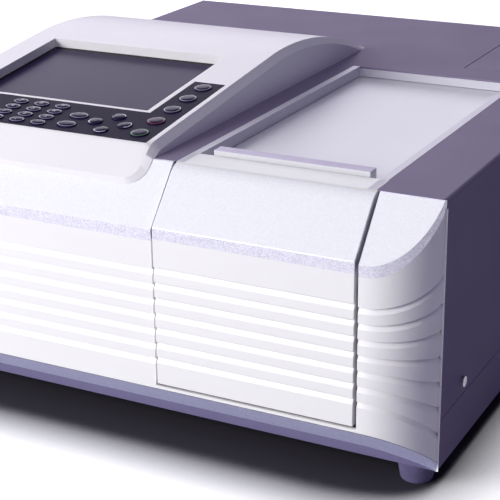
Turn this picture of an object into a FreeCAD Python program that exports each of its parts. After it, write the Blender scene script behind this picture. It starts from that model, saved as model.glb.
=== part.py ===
import FreeCAD, Part
import math
import os
import re
from types import SimpleNamespace

# Double beam spectrophotometer, bench model with a tilted display console on its left and a
# sliding sample compartment lid on its right. Millimetres, +Z up, +Y to the rear.
# The origin lies under the middle of the whole instrument, on the surface that it stands on.

doc = FreeCAD.newDocument("double_beam_spectrophotometer")

# Driving dimensions: name, value in millimetres or degrees, and what it measures.
# "front" means the front edge of the sheet metal cover; heights named _up count from the floor pan.
SIZES = [
    ("body_width", 470, "cabinet from side to side"),
    ("body_depth", 520, "sheet metal cabinet from front edge to rear face"),
    ("body_height", 198, "floor pan underside to top of cover"),
    ("foot_height", 16, "rubber foot"),
    ("foot_top_radius", 14.5, "foot where it meets the pan"),
    ("foot_tip_radius", 11.5, "foot on the bench"),
    ("foot_side_inset", 20, "foot centre from the side"),
    ("foot_front_inset", 14.5, "foot centre behind the front edge"),
    ("foot_rear_inset", 32, "foot centre before the rear face"),
    ("rear_proud", 2.4, "inlet flange and connectors behind the rear face"),
    ("sheet_wall", 1.6, "sheet steel"),
    ("bend_radius", 3, "outer bend of the cover"),
    ("pan_height", 38, "visible side of the floor pan"),
    ("pan_flange_height", 60, "inner flange that the cover is screwed to"),
    ("seam", 0.3, "gap between sheet parts"),
    ("front_bulge", 36.4, "flat front face before the front edge"),
    ("corner_run", 42.06, "side to side run of each rounded front corner"),
    ("fascia_wall", 3, "moulded fascia"),
    ("slope_start", 2.5, "top edge of the slope before the front edge"),
    ("slope_rise", 1.16, "fall of the slope per millimetre forward"),
    ("under_top_up", 36.6, "lower edge of the white front face"),
    ("under_rise", 0.82, "rise of the silver underside per millimetre forward"),
    ("fascia_top_step", 6, "rebate behind the top edge"),
    ("skirt_bulge", 16, "edge between the silver and purple faces, before the front edge"),
    ("skirt_up", 16.5, "that edge above the pan's underside"),
    ("skirt_corner_run", 54, "side to side run of that edge at each corner"),
    ("groove_count", 7, "moulded grooves across the front"),
    ("groove_first_up", 129, "top groove"),
    ("groove_pitch", 11.45, "from groove to groove"),
    ("groove_depth", 2, "depth at the upper edge"),
    ("groove_height", 4.2, "from sharp upper edge to the end of its ramp"),
    ("groove_fan_first", 0.48, "rise of the top groove per millimetre round the corner"),
    ("groove_fan_step", 0.22, "how much less the next groove rises"),
    ("panel_left_inset", 200.2, "front panel, left edge from the right side"),
    ("panel_right_inset", 47.7, "front panel, right edge from the right side"),
    ("panel_gap", 2, "gap beside the front panel"),
    ("panel_proud", 1.6, "front panel before the fascia"),
    ("panel_slope_start", 5.4, "slope of the panel, top edge before the front edge"),
    ("panel_slope_rise", 1.139, "fall of the panel's slope per millimetre forward"),
    ("panel_bottom_up", 41.5, "lower edge of the panel"),
    ("panel_lift_up", 2.2, "panel's grooves above the fascia's"),
    ("panel_wall", 3, "moulded panel"),
    ("panel_return", 10, "depth of the panel's side returns"),
    ("panel_crown", 8, "radius between deck and slope"),
    ("ledge_up", 39, "lower edge of the opening behind the panel"),
    ("deck_depth", 23.4, "flat deck behind the slope"),
    ("frame_side_margin", 49.9, "compartment frame from the right side"),
    ("frame_width", 151, "compartment frame, outside"),
    ("rim_width", 6.1, "visible rim at each side of the lid"),
    ("well_length", 312, "front edge to rear wall of the lid well"),
    ("rail_wall", 3, "outer wall of each slide rail"),
    ("ledge_width", 8, "slide ledge, outside face to inner edge"),
    ("rail_height", 20.8, "slide rail, top of rim to underside"),
    ("rail_length", 514, "slide rails from the front edge"),
    ("lid_drop", 9.4, "lid surface below the cover"),
    ("lid_thickness", 3, "lid plate"),
    ("lid_gap", 0.3, "running gap of the lid"),
    ("lid_front", 24.4, "front edge of the lid behind the front edge"),
    ("lid_tail", 5, "lid behind the rear wall when shut"),
    ("lid_travel", 195, "how far the lid slides back"),
    ("handle_width", 121, "lid handle"),
    ("handle_front", 27.5, "handle behind the front edge"),
    ("handle_depth", 10.6, "handle, front to rear"),
    ("handle_height", 12, "handle above the lid"),
    ("handle_ribs", 5, "grip ribs on the handle"),
    ("handle_rib_depth", 0.5, "depth between the ribs"),
    ("access_side_margin", 18, "lamp cover from the right side"),
    ("access_width", 92, "lamp cover, side to side"),
    ("access_front", 344, "lamp cover behind the front edge"),
    ("access_length", 156, "lamp cover, front to rear"),
    ("access_gap", 0.6, "gap round the lamp cover"),
    ("access_lip", 9, "folded lip of the lamp cover"),
    ("console_wall_margin", 218.8, "console, right wall from the right side"),
    ("console_width", 238.6, "console, wall to wall"),
    ("console_corner", 11, "rounded front corner of the console"),
    ("console_chamfer", 5.5, "bevel along the console's sides"),
    ("console_wall", 2.9, "moulded console wall"),
    ("console_lip_front", 17, "console lip before the front edge"),
    ("console_lip_drop", 11.8, "top of the lip below the cover"),
    ("console_lip_height", 4.3, "front face of the lip"),
    ("slab_start", 3, "start of the display face behind the front edge"),
    ("slab_rise", 8.6, "start of the display face above the cover"),
    ("slab_tilt", 6.7, "tilt of the display face, degrees"),
    ("crest", 206, "crest behind the front edge"),
    ("hump_mid", 296, "middle of the rear hump behind the front edge"),
    ("hump_rise", 27, "height there above the cover"),
    ("console_tail", 383, "rear end of the console behind the front edge"),
    ("face_margin", 16.2, "zero line of the display face, left of the console's right wall"),
    ("display_left", -192.7, "display opening, left edge from the zero line"),
    ("display_width", 167.9, "display opening, side to side"),
    ("display_start", 56.6, "display opening, along the face from its start"),
    ("display_length", 125.2, "display opening, up the face"),
    ("display_sink", 7.4, "glass below the face"),
    ("display_border", 6, "hidden border of the glass"),
    ("glass_thickness", 1.8, "display window"),
    ("display_module_depth", 4.5, "display module"),
    ("overlay_thickness", 0.8, "keypad overlay"),
    ("overlay_gap", 0.2, "gap round the overlay"),
    ("overlay_left", -170, "overlay, left end from the zero line"),
    ("overlay_right", 6.5, "overlay, right end from the zero line"),
    ("overlay_start", 1.4, "overlay, along the face"),
    ("overlay_length", 51.9, "overlay below the display"),
    ("overlay_arm_left", -20.4, "upright arm of the overlay, left edge"),
    ("overlay_arm_end", 122.8, "upright arm of the overlay, upper end"),
    ("key_gap", 0.3, "gap round each key"),
    ("key_rise", 0.9, "key above the overlay"),
    ("key_skirt", 3.6, "key below the face"),
    ("digit_width", 13.2, "number key, side to side"),
    ("digit_length", 9.4, "number key, up the face"),
    ("digit_left", -130.8, "first column of number keys"),
    ("digit_start", 10, "lowest row of number keys"),
    ("digit_column_pitch", 19.2, "number columns"),
    ("digit_row_pitch", 11.1, "number rows"),
    ("oval_width", 16, "oval key"),
    ("oval_length", 11.3, "oval key, up the face"),
    ("oval_middle", -69.3, "oval keys from the zero line"),
    ("oval_start", 13.9, "lower oval key"),
    ("oval_pitch", 17.3, "oval keys apart"),
    ("arrow_diameter", 11.5, "arrow key"),
    ("arrow_middle", -38.2, "middle of the arrow keys"),
    ("arrow_centre_start", 25.2, "middle of the arrow keys, up the face"),
    ("arrow_radius", 12.9, "arrow keys from their middle"),
    ("function_diameter", 14, "function key"),
    ("function_middle", -7.1, "function keys from the zero line"),
    ("function_start", 15.8, "lowest function key"),
    ("function_pitch", 23.9, "function keys apart"),
    ("key_board_sink", 5.2, "keypad board below the face"),
    ("key_board_thickness", 1.6, "keypad board"),
    ("key_window_margin", 1.2, "room round each block of keys in the console"),
    ("key_peg", 3, "square pegs above the keypad board"),
    ("bench_up", 22, "underside of the optical bench"),
    ("bench_thickness", 8, "optical bench"),
    ("bench_margin", 14, "bench inside the cabinet"),
    ("bench_length", 316, "bench, main part"),
    ("bench_tail_length", 175, "bench under the lamps"),
    ("bench_tail_left", 62, "bench tail, left edge from the middle"),
    ("bench_post_width", 15, "square posts below the bench"),
    ("tub_front", 23, "compartment tub behind the front edge"),
    ("tub_length", 217, "compartment tub"),
    ("tub_wall", 2, "tub wall"),
    ("tub_flange", 5, "flange that carries the frame"),
    ("beam_up", 98, "light beams above the pan"),
    ("sample_beam", 75, "sample beam behind the front edge"),
    ("beam_spacing", 90, "reference beam behind the sample beam"),
    ("window_size", 16, "square beam windows in the tub"),
    ("cell_size", 12.7, "square cell pocket"),
    ("cell_depth", 42, "depth of the cell pocket"),
    ("holder_size", 34, "cell holder block"),
    ("holder_over_beam", 27, "top of the cell holder above the beam"),
    ("holder_slot", 6, "beam slot in the cell holder"),
    ("detector_size", 32, "detector block"),
    ("detector_depth", 26, "detector block along the beam"),
    ("turntable_radius", 34, "grating table"),
    ("shaft_radius", 4, "grating table shaft"),
    ("turntable_thickness", 8, "grating table"),
    ("turntable_left", -150, "grating axis from the middle"),
    ("turntable_back", 120, "grating axis behind the front edge"),
    ("sine_arm_length", 80, "sine arm"),
    ("grating_size", 30, "ruled grating, square"),
    ("lead_screw_radius", 3, "lead screw"),
    ("lead_screw_length", 108, "lead screw"),
    ("lead_screw_start", 18, "left end of the lead screw, left of the grating axis"),
    ("lead_screw_offset", 14, "lead screw behind the roller"),
    ("running_gap", 0.07, "radial clearance of every turning fit"),
    ("nut_size", 16, "drive nut"),
    ("roller_radius", 6, "roller at the end of the sine arm"),
    ("motor_size", 35, "stepper motor, square"),
    ("motor_length", 26, "stepper motor"),
    ("filter_wheel_radius", 28, "filter wheel"),
    ("filter_count", 6, "filters"),
    ("filter_radius", 5.5, "filter"),
    ("mirror_size", 30, "mirror plates"),
    ("lamp_house_wall", 2, "lamp house"),
    ("lamp_house_height", 100, "lamp house"),
    ("deuterium_radius", 14, "deuterium lamp bulb"),
    ("halogen_radius", 6, "halogen lamp bulb"),
    ("board_up", 46, "main board above the pan's underside"),
    ("board_thickness", 1.6, "main board"),
    ("fan_size", 80, "fan frame"),
    ("fan_depth", 25, "fan frame"),
    ("fan_left", -60, "fan axis from the middle"),
    ("fan_up", 112, "fan axis above the pan"),
    ("fan_hub_radius", 16, "fan hub"),
    ("fan_tip_gap", 1.5, "blade tip to frame"),
    ("fan_blades", 7, "blades"),
    ("inlet_left", -185, "power inlet from the middle"),
    ("inlet_up", 62, "power inlet, lower edge above the pan"),
    ("inlet_width", 50, "inlet flange"),
    ("inlet_height", 62, "inlet flange"),
    ("inlet_body_depth", 24, "inlet behind the panel"),
    ("socket_width", 24.4, "plug socket"),
    ("socket_height", 17, "plug socket"),
    ("socket_depth", 14, "plug socket"),
    ("rocker_radius", 8, "power rocker"),
    ("rocker_width", 20, "power rocker"),
    ("rocker_sink", 3.4, "rocker pivot below the rear face"),
    ("rocker_angle", 16, "swing of the rocker, degrees"),
    ("screw_head_radius", 4, "cover screw head"),
    ("screw_head_height", 2.2, "cover screw head"),
    ("screw_up", 49.3, "cover screws above the pan's underside"),
    ("screw_front", 45.7, "first cover screw behind the front edge"),
    ("screw_pitch", 214, "cover screws apart"),
]

# Places that follow from the sizes.
PLACES = [
    ("right", "size.body_width / 2"),
    ("front", "(size.front_bulge + size.panel_proud - size.body_depth - size.rear_proud) / 2"),
    ("back", "front + size.body_depth"),
    ("floor", "size.foot_height"),
    ("roof", "floor + size.body_height"),
    ("frame_right", "right - size.frame_side_margin"),
    ("frame_left", "frame_right - size.frame_width"),
    ("frame_middle", "(frame_left + frame_right) / 2"),
    ("panel_left", "right - size.panel_left_inset"),
    ("panel_right", "right - size.panel_right_inset"),
    ("lid_top", "roof - size.lid_drop"),
    ("ledge_top", "lid_top - size.lid_thickness - size.lid_gap"),
    ("rail_bottom", "roof - size.rail_height"),
    ("access_right", "right - size.access_side_margin"),
    ("access_left", "access_right - size.access_width"),
    ("console_right", "right - size.console_wall_margin"),
    ("console_left", "console_right - size.console_width"),
    ("face_x", "console_right - size.face_margin"),
    ("lip_up", "size.body_height - size.console_lip_drop"),
    ("lip_under_up", "lip_up - size.console_lip_height"),
    ("slab_up", "size.body_height + size.slab_rise"),
    ("hump_mid_up", "size.body_height + size.hump_rise"),
    ("bench_bottom", "floor + size.bench_up"),
    ("bench_top", "bench_bottom + size.bench_thickness"),
    ("tub_left", "frame_left + size.ledge_width + size.lid_gap"),
    ("tub_right", "frame_right - size.ledge_width - size.lid_gap"),
    ("tub_top", "ledge_top - size.lid_gap"),
    ("beam_height", "floor + size.beam_up"),
    ("sample_y", "front + size.sample_beam"),
    ("reference_y", "sample_y + size.beam_spacing"),
    ("turntable_y", "front + size.turntable_back"),
    ("fan_z", "floor + size.fan_up"),
    ("inlet_bottom", "floor + size.inlet_up"),
]


def fill_sheet(name, rows):
    """Write one alias per row and hand back the sheet."""
    sheet = doc.addObject("Spreadsheet::Sheet", name)
    for number, (alias, content, note) in enumerate(rows, start=1):
        sheet.set(f"A{number}", note)
        sheet.setAlias(f"B{number}", alias)
        sheet.set(f"B{number}", content)
    doc.recompute()
    return sheet


size_sheet = fill_sheet("size", [(alias, str(value), note) for alias, value, note in SIZES])
place_sheet = fill_sheet("place", [(alias, "=" + rule, rule) for alias, rule in PLACES])
size = SimpleNamespace(**{row[0]: float(size_sheet.get(row[0])) for row in SIZES})
place = SimpleNamespace(**{row[0]: float(place_sheet.get(row[0])) for row in PLACES})
SIZE_NAMES = {row[0] for row in SIZES}
PLACE_NAMES = {row[0] for row in PLACES}


def bound(rule):
    """Turn plain size and place names into references to their sheet cells."""
    def refer(match):
        word = match.group(0)
        if word in SIZE_NAMES:
            return "size." + word
        return "place." + word if word in PLACE_NAMES else word
    return re.sub(r"[a-z_]+", refer, str(rule))


def block(name, x, y, z):
    """A box between two named planes along each axis."""
    box = doc.addObject("Part::Box", name)
    for prop, axis, (low, high) in (("Length", "x", x), ("Width", "y", y), ("Height", "z", z)):
        box.setExpression(prop, bound(f"({high}) - ({low})"))
        box.setExpression("Placement.Base." + axis, bound(low))
    return box


TURNS = {
    "z": FreeCAD.Rotation(),
    "x": FreeCAD.Rotation(FreeCAD.Vector(0, 1, 0), 90),
    "y": FreeCAD.Rotation(FreeCAD.Vector(1, 0, 0), -90),
}


def set_base(item, base):
    for axis, rule in zip("xyz", base):
        item.setExpression("Placement.Base." + axis, bound(rule))


def rod(name, axis, base, radius, length):
    """A cylinder that starts at base and runs along +X, +Y or +Z."""
    cylinder = doc.addObject("Part::Cylinder", name)
    cylinder.Placement = FreeCAD.Placement(FreeCAD.Vector(), TURNS[axis])
    cylinder.setExpression("Radius", bound(radius))
    cylinder.setExpression("Height", bound(length))
    set_base(cylinder, base)
    return cylinder


def fuse(name, shapes):
    joined = doc.addObject("Part::MultiFuse", name)
    joined.Shapes = shapes
    joined.Refine = True
    return joined


def group(name, shapes):
    """Separate solids that share one node."""
    members = doc.addObject("Part::Compound", name)
    members.Links = shapes
    return members


def cut(name, base, *tools):
    result = doc.addObject("Part::Cut", name)
    result.Base = base
    result.Tool = tools[0] if len(tools) == 1 else group(name + "_tools", list(tools))
    return result


def shaped(name, shape):
    feature = doc.addObject("Part::Feature", name)
    feature.Shape = shape
    return feature


NODES = {}


def node(name, item):
    item.Label = name
    NODES[name] = item
    return item


def prism(points, x_low, x_high):
    """A (y, z) outline about the cabinet's front lower edge, run along X."""
    corners = [FreeCAD.Vector(x_low, place.front + y, place.floor + z) for y, z in points]
    face = Part.Face(Part.makePolygon(corners + corners[:1]))
    return face.extrude(FreeCAD.Vector(x_high - x_low, 0, 0))


# Floor pan: folded steel tray with inner flanges that carry the cover, on four rubber feet.
pan_outer = block("pan_outer", ("-right", "right"), ("front", "back"), ("floor", "floor + pan_height"))
pan_hollow = block("pan_hollow", ("-right + sheet_wall", "right - sheet_wall"),
                   ("front + sheet_wall", "back - sheet_wall"),
                   ("floor + sheet_wall", "floor + pan_height + 1"))
pan_flanges = [
    block("pan_flange_" + side, span, ("front + 18", "back - 18"), ("floor + sheet_wall", "floor + pan_flange_height"))
    for side, span in (("left", ("-right + sheet_wall", "-right + 2 * sheet_wall")),
                       ("right", ("right - 2 * sheet_wall", "right - sheet_wall")))
]
pan_slots = [
    block(f"pan_slot_{number}", ("70", "190"), (f"back - {60 + 16 * number}", f"back - {54 + 16 * number}"),
          ("floor - 1", "floor + sheet_wall + 1"))
    for number in range(6)
]
pan_body = fuse("pan_body", [cut("pan_tray", pan_outer, pan_hollow)] + pan_flanges)
node("base_pan", cut("base_pan", pan_body, *pan_slots))


def foot(number, x, y):
    cone = doc.addObject("Part::Cone", f"foot_{number}")
    for prop, rule in (("Radius1", "foot_tip_radius"), ("Radius2", "foot_top_radius"), ("Height", "foot_height")):
        cone.setExpression(prop, bound(rule))
    set_base(cone, (x, y, "0"))
    return cone


FOOT_PLACES = [(x, y) for x in ("-right + foot_side_inset", "right - foot_side_inset")
               for y in ("front + foot_front_inset", "back - foot_rear_inset")]
node("rubber_feet", group("rubber_feet", [foot(number, *spot) for number, spot in enumerate(FOOT_PLACES)]))

# Cover: top and both sides folded from one sheet, open at the front, rear and bottom.
cover_outer = block("cover_outer", ("-right", "right"), ("front", "back"), ("floor + pan_height + seam", "roof"))
doc.recompute()
cover_bends = doc.addObject("Part::Fillet", "cover_bends")
cover_bends.Base = cover_outer
cover_bends.Edges = [
    (number, size.bend_radius, size.bend_radius)
    for number, edge in enumerate(cover_outer.Shape.Edges, start=1)
    if edge.Length > size.body_depth - 1 and edge.CenterOfMass.z > place.roof - 1
    and abs(edge.tangentAt(edge.FirstParameter).y) > 0.9
]
cover_hollow = block("cover_hollow", ("-right + sheet_wall", "right - sheet_wall"), ("front - 1", "back + 1"),
                     ("floor + pan_height - 1", "roof - sheet_wall"))
frame_opening = block("frame_opening", ("frame_left - seam / 2", "frame_right + seam / 2"),
                      ("front - 1", "front + well_length"), ("roof - 4", "roof + 1"))
lamp_opening = block("lamp_opening", ("access_left", "access_right"),
                     ("front + access_front", "front + access_front + access_length"), ("roof - 4", "roof + 1"))
node("top_cover", cut("top_cover", cover_bends, cover_hollow, frame_opening, lamp_opening))

# Lamp cover: flush plate with folded lips over the lamp house.
lamp_plate = block("lamp_plate", ("access_left + access_gap", "access_right - access_gap"),
                   ("front + access_front + access_gap", "front + access_front + access_length - access_gap"),
                   ("roof - sheet_wall", "roof"))
lamp_lips = [
    block("lamp_lip_" + side, span, ("front + access_front + 6", "front + access_front + access_length - 6"),
          ("roof - access_lip", "roof - sheet_wall"))
    for side, span in (("left", ("access_left + 2", "access_left + 2 + sheet_wall")),
                       ("right", ("access_right - 2 - sheet_wall", "access_right - 2")))
]
node("lamp_access_cover", fuse("lamp_access_cover", [lamp_plate] + lamp_lips))

# Rear panel: steel plate with the fan grille, power inlet, connectors and lamp vents.
rear_plate = block("rear_plate", ("-right + sheet_wall + seam", "right - sheet_wall - seam"),
                   ("back - sheet_wall", "back"), ("floor + pan_height + seam", "roof - sheet_wall - seam"))
rear_through = ("back - sheet_wall - 1", "back + 1")
inlet_hole = block("inlet_hole", ("inlet_left - inlet_width / 2 + 2", "inlet_left + inlet_width / 2 - 2"),
                   rear_through, ("inlet_bottom + 2", "inlet_bottom + inlet_height - 2"))
grille_disc = rod("grille_disc", "y", ("fan_left", "back - sheet_wall - 1", "fan_z"), "fan_size / 2 - 3", "sheet_wall + 2")
grille_slots = group("grille_slots", [
    block(f"grille_slot_{number}", (f"fan_left + {8 * number - 35}", f"fan_left + {8 * number - 30}"), rear_through,
          ("fan_z - fan_size", "fan_z + fan_size"))
    for number in range(9)
])
grille = doc.addObject("Part::Common", "grille")
grille.Base = grille_disc
grille.Tool = grille_slots
lamp_vents = [
    block(f"lamp_vent_{number}", (f"{96 + 12 * number}", f"{101 + 12 * number}"), rear_through,
          ("floor + 70", "floor + 150"))
    for number in range(10)
]
PORTS = (("serial_port", 2, 32, 12.6), ("usb_port", 44, 13, 11.4))
port_low = "floor + board_up + board_thickness"
port_holes = [
    block(name + "_hole", (f"{x - width / 2 - 0.5}", f"{x + width / 2 + 0.5}"), rear_through,
          (f"{port_low} - 0.5", f"{port_low} + {height + 0.5}"))
    for name, x, width, height in PORTS
]
node("rear_panel", cut("rear_panel", rear_plate, inlet_hole, grille, *lamp_vents, *port_holes))


def corner_outline(bulge, corner_run, inset=0.0, tilt=0.0, height=0.0, reach=0.0):
    """Closed plan outline of the bowed front: flat middle and one round corner at each end.

    The outline lies at height where it is flat and rises by tilt per millimetre rearwards.
    """
    radius = (corner_run ** 2 + bulge ** 2) / (2 * bulge)
    centre_x = place.right - corner_run
    centre_y = place.front - bulge + radius
    inner = radius - inset
    last_angle = math.acos(min(1.0, (centre_y - place.front - reach) / inner))

    def lifted(x, y):
        return FreeCAD.Vector(x, y, place.floor + height + tilt * (y - (place.front - bulge)))

    def corner(side):
        """The arc from the flat to the corner's end, with both of its ends."""
        start, middle, end = [
            lifted(side * (centre_x + inner * math.sin(angle)), centre_y - inner * math.cos(angle))
            for angle in (0, last_angle / 2, last_angle)
        ]
        if abs(tilt) < 1e-6:
            return Part.Arc(start, middle, end).toShape(), start, end
        centre = lifted(side * centre_x, centre_y)
        along = FreeCAD.Vector(0, inner, inner * tilt)
        ellipse = Part.Ellipse(centre + along, centre + FreeCAD.Vector(inner, 0, 0), centre)
        first, last = sorted((ellipse.parameter(start), ellipse.parameter(end)))
        if last - first > math.pi:
            first, last = last, first + 2 * math.pi
        return Part.ArcOfEllipse(ellipse, first, last).toShape(), start, end

    left_curve, left_start, left_end = corner(-1)
    right_curve, right_start, right_end = corner(1)
    back_y = place.front + reach
    edges = [left_curve, Part.LineSegment(left_start, right_start).toShape(), right_curve,
             Part.LineSegment(right_end, left_end).toShape()]
    return Part.Wire(edges)


def bowed_prism(bulge, corner_run, inset, low, high, reach=0.0):
    outline = corner_outline(bulge, corner_run, inset, height=low, reach=reach)
    return Part.Face(outline).extrude(FreeCAD.Vector(0, 0, high - low))


# Front fascia: one moulding with rounded corners, a sloped top, seven grooves that fan out round
# the corners, a silver underside that turns in, and an opening for the compartment panel.
def slope_height(y, start, rise):
    return size.body_height + rise * (y + start)


def under_height(y):
    return size.under_top_up - size.under_rise * (y + size.front_bulge)


def groove_height_up(number):
    return size.groove_first_up - number * size.groove_pitch


face_y = -size.front_bulge
beyond_y = 2 * face_y
fascia_section = [
    (0, under_height(0)), (beyond_y, under_height(beyond_y)),
    (beyond_y, slope_height(beyond_y, size.slope_start, size.slope_rise)),
    (-size.slope_start, size.body_height), (-size.slope_start, size.body_height - size.fascia_top_step),
    (0, size.body_height - size.fascia_top_step),
]
skin_up = size.fascia_wall * math.hypot(1, size.under_rise)
skin_down = size.fascia_wall * math.hypot(1, size.slope_rise)
inner_y = face_y + size.fascia_wall
hollow_top = size.body_height - size.fascia_top_step - size.fascia_wall
hollow_top_y = (hollow_top + skin_down - size.body_height) / size.slope_rise - size.slope_start
fascia_hollow_section = [
    (1, under_height(1) + skin_up), (inner_y, under_height(inner_y) + skin_up),
    (inner_y, slope_height(inner_y, size.slope_start, size.slope_rise) - skin_down),
    (hollow_top_y, hollow_top), (1, hollow_top),
]
WIDE = size.body_width
fascia = bowed_prism(size.front_bulge, size.corner_run, 0, 0, size.body_height)
fascia = fascia.common(prism(fascia_section, -WIDE, WIDE))
fascia_hollow = bowed_prism(size.front_bulge, size.corner_run, size.fascia_wall, 0, size.body_height, reach=0.8)
fascia = fascia.cut(fascia_hollow.common(prism(fascia_hollow_section, -WIDE, WIDE)))
panel_opening = [(-2 * size.front_bulge, size.ledge_up), (-2 * size.front_bulge, 2 * size.body_height),
                 (2, 2 * size.body_height), (2, size.ledge_up)]
fascia = fascia.cut(prism(panel_opening, place.panel_left - size.panel_gap, place.panel_right + size.panel_gap))
for number in range(int(size.groove_count)):
    up = groove_height_up(number)
    fan = size.groove_fan_first - size.groove_fan_step * number
    lower = up - size.groove_height
    shallow = -0.02
    outside = -3
    bowl = Part.makeLoft([
        corner_outline(size.front_bulge, size.corner_run, shallow, fan, lower, reach=0.5),
        corner_outline(size.front_bulge, size.corner_run, size.groove_depth, fan, up, reach=0.5)], True, True)
    band = Part.makeLoft([
        corner_outline(size.front_bulge, size.corner_run, outside, fan, lower, reach=0.5),
        corner_outline(size.front_bulge, size.corner_run, outside, fan, up, reach=0.5)], True, True)
    fascia = fascia.cut(band.cut(bowl))
node("front_fascia", shaped("front_fascia", fascia))

# Skirt: solid trim below the fascia. Its silver face rises from the curved edge, which lies in the
# plane of the purple lower face, to the fascia's lower edge.
skirt_top = corner_outline(size.front_bulge, size.corner_run, 0, -size.under_rise, size.under_top_up - size.seam)
skirt_edge = corner_outline(size.skirt_bulge, size.skirt_corner_run, 0, -size.skirt_up / size.skirt_bulge, size.skirt_up)
node("lower_skirt", shaped("lower_skirt", Part.makeLoft([skirt_edge, skirt_top], True, True)))

# Front panel of the compartment: lifts out of the fascia; its deck closes the top before the lid.
panel_face_y = face_y - size.panel_proud
panel_knee_up = slope_height(panel_face_y, size.panel_slope_start, size.panel_slope_rise)
panel_skin_down = size.panel_wall * math.hypot(1, size.panel_slope_rise)
panel_inner_y = panel_face_y + size.panel_wall
panel_under_deck = size.body_height - size.panel_wall
panel_inner_knee = slope_height(panel_inner_y, size.panel_slope_start, size.panel_slope_rise) - panel_skin_down
panel_inner_top_y = ((panel_under_deck + panel_skin_down - size.body_height) / size.panel_slope_rise
                     - size.panel_slope_start)
panel_outer = [(0, size.panel_bottom_up), (panel_face_y, size.panel_bottom_up), (panel_face_y, panel_knee_up),
               (-size.panel_slope_start, size.body_height), (0, size.body_height)]
panel = prism(panel_outer, place.panel_left, place.panel_right)
crown_edges = [edge for edge in panel.Edges
               if edge.Length > size.frame_width / 2 and abs(edge.CenterOfMass.z - place.roof) < 0.01
               and edge.CenterOfMass.y < place.front - 1]
panel = panel.makeFillet(size.panel_crown, crown_edges)
panel_hollow = [(1, 0), (panel_inner_y, 0), (panel_inner_y, panel_inner_knee),
                (panel_inner_top_y, panel_under_deck), (1, panel_under_deck)]
panel = panel.cut(prism(panel_hollow, place.panel_left + size.panel_wall, place.panel_right - size.panel_wall))
return_y = panel_face_y + size.panel_return
behind_returns = [(return_y, 0), (return_y, panel_inner_knee - size.panel_return), (1, panel_under_deck), (1, 0)]
panel = panel.cut(prism(behind_returns, -WIDE, WIDE))
deck_section = [(-1, panel_under_deck), (-1, size.body_height), (size.deck_depth, size.body_height),
                (size.deck_depth, panel_under_deck)]
panel = panel.fuse(prism(deck_section, place.frame_left + size.rim_width + size.lid_gap,
                         place.frame_right - size.rim_width - size.lid_gap))
for number in range(int(size.groove_count)):
    up = groove_height_up(number) + size.panel_lift_up
    notch = [(panel_face_y - 1, up), (panel_face_y + size.groove_depth, up),
             (panel_face_y, up - size.groove_height), (panel_face_y - 1, up - size.groove_height)]
    panel = panel.cut(prism(notch, -WIDE, WIDE))
node("compartment_front_panel", shaped("compartment_front_panel", panel.removeSplitter()))

# Compartment frame: two slide rails with visible rims, a cross rail under the deck, a rear wall
# with a slot below it for the lid, and a tie at the rear end of the rails.
frame_members = []
for side, wall, rim, ledge in (
        ("left", ("frame_left", "frame_left + rail_wall"), ("frame_left", "frame_left + rim_width"),
         ("frame_left", "frame_left + ledge_width")),
        ("right", ("frame_right - rail_wall", "frame_right"), ("frame_right - rim_width", "frame_right"),
         ("frame_right - ledge_width", "frame_right"))):
    frame_members += [
        block("rail_wall_" + side, wall, ("front", "front + rail_length"), ("rail_bottom", "roof - sheet_wall - seam")),
        block("rail_ledge_" + side, ledge, ("front", "front + rail_length"), ("rail_bottom", "ledge_top")),
        block("rail_rim_" + side, rim, ("front", "front + well_length"), ("lid_top + 2 * lid_gap", "roof")),
    ]
frame_members += [
    block("cross_rail", ("frame_left", "frame_right"), ("front", "front + tub_front - 1"),
          ("rail_bottom", "roof - panel_wall - seam")),
    block("well_rear_wall", ("frame_left", "frame_right"), ("front + well_length", "front + well_length + rail_wall"),
          ("lid_top + 2 * lid_gap", "roof - sheet_wall - seam / 3")),
    block("rail_tie", ("frame_left", "frame_right"), ("front + rail_length - 3", "front + rail_length"),
          ("rail_bottom", "ledge_top")),
]
node("compartment_frame", fuse("compartment_frame", frame_members))

# Lid: flat plate that slides back under the cover, with a ribbed grip bar.
lid_plate = block("sliding_lid", ("frame_left + rail_wall + lid_gap", "frame_right - rail_wall - lid_gap"),
                  ("front + lid_front", "front + well_length + lid_tail"), ("lid_top - lid_thickness", "lid_top"))
node("sliding_lid", lid_plate)
grip_bar = block("grip_bar", ("frame_middle - handle_width / 2", "frame_middle + handle_width / 2"),
                 ("front + handle_front", "front + handle_front + handle_depth"),
                 ("lid_top", "lid_top + handle_height"))
rib_pitch = "handle_depth / handle_ribs"
rib_grooves = [
    block(f"rib_groove_{number}", ("frame_middle - handle_width", "frame_middle + handle_width"),
          (f"front + handle_front + {rib_pitch} * {number} - 0.4", f"front + handle_front + {rib_pitch} * {number} + 0.4"),
          ("lid_top + handle_height - handle_rib_depth", "lid_top + handle_height + 1"))
    for number in range(1, int(size.handle_ribs))
]
node("lid_handle", cut("lid_handle", grip_bar, *rib_grooves))

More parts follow.
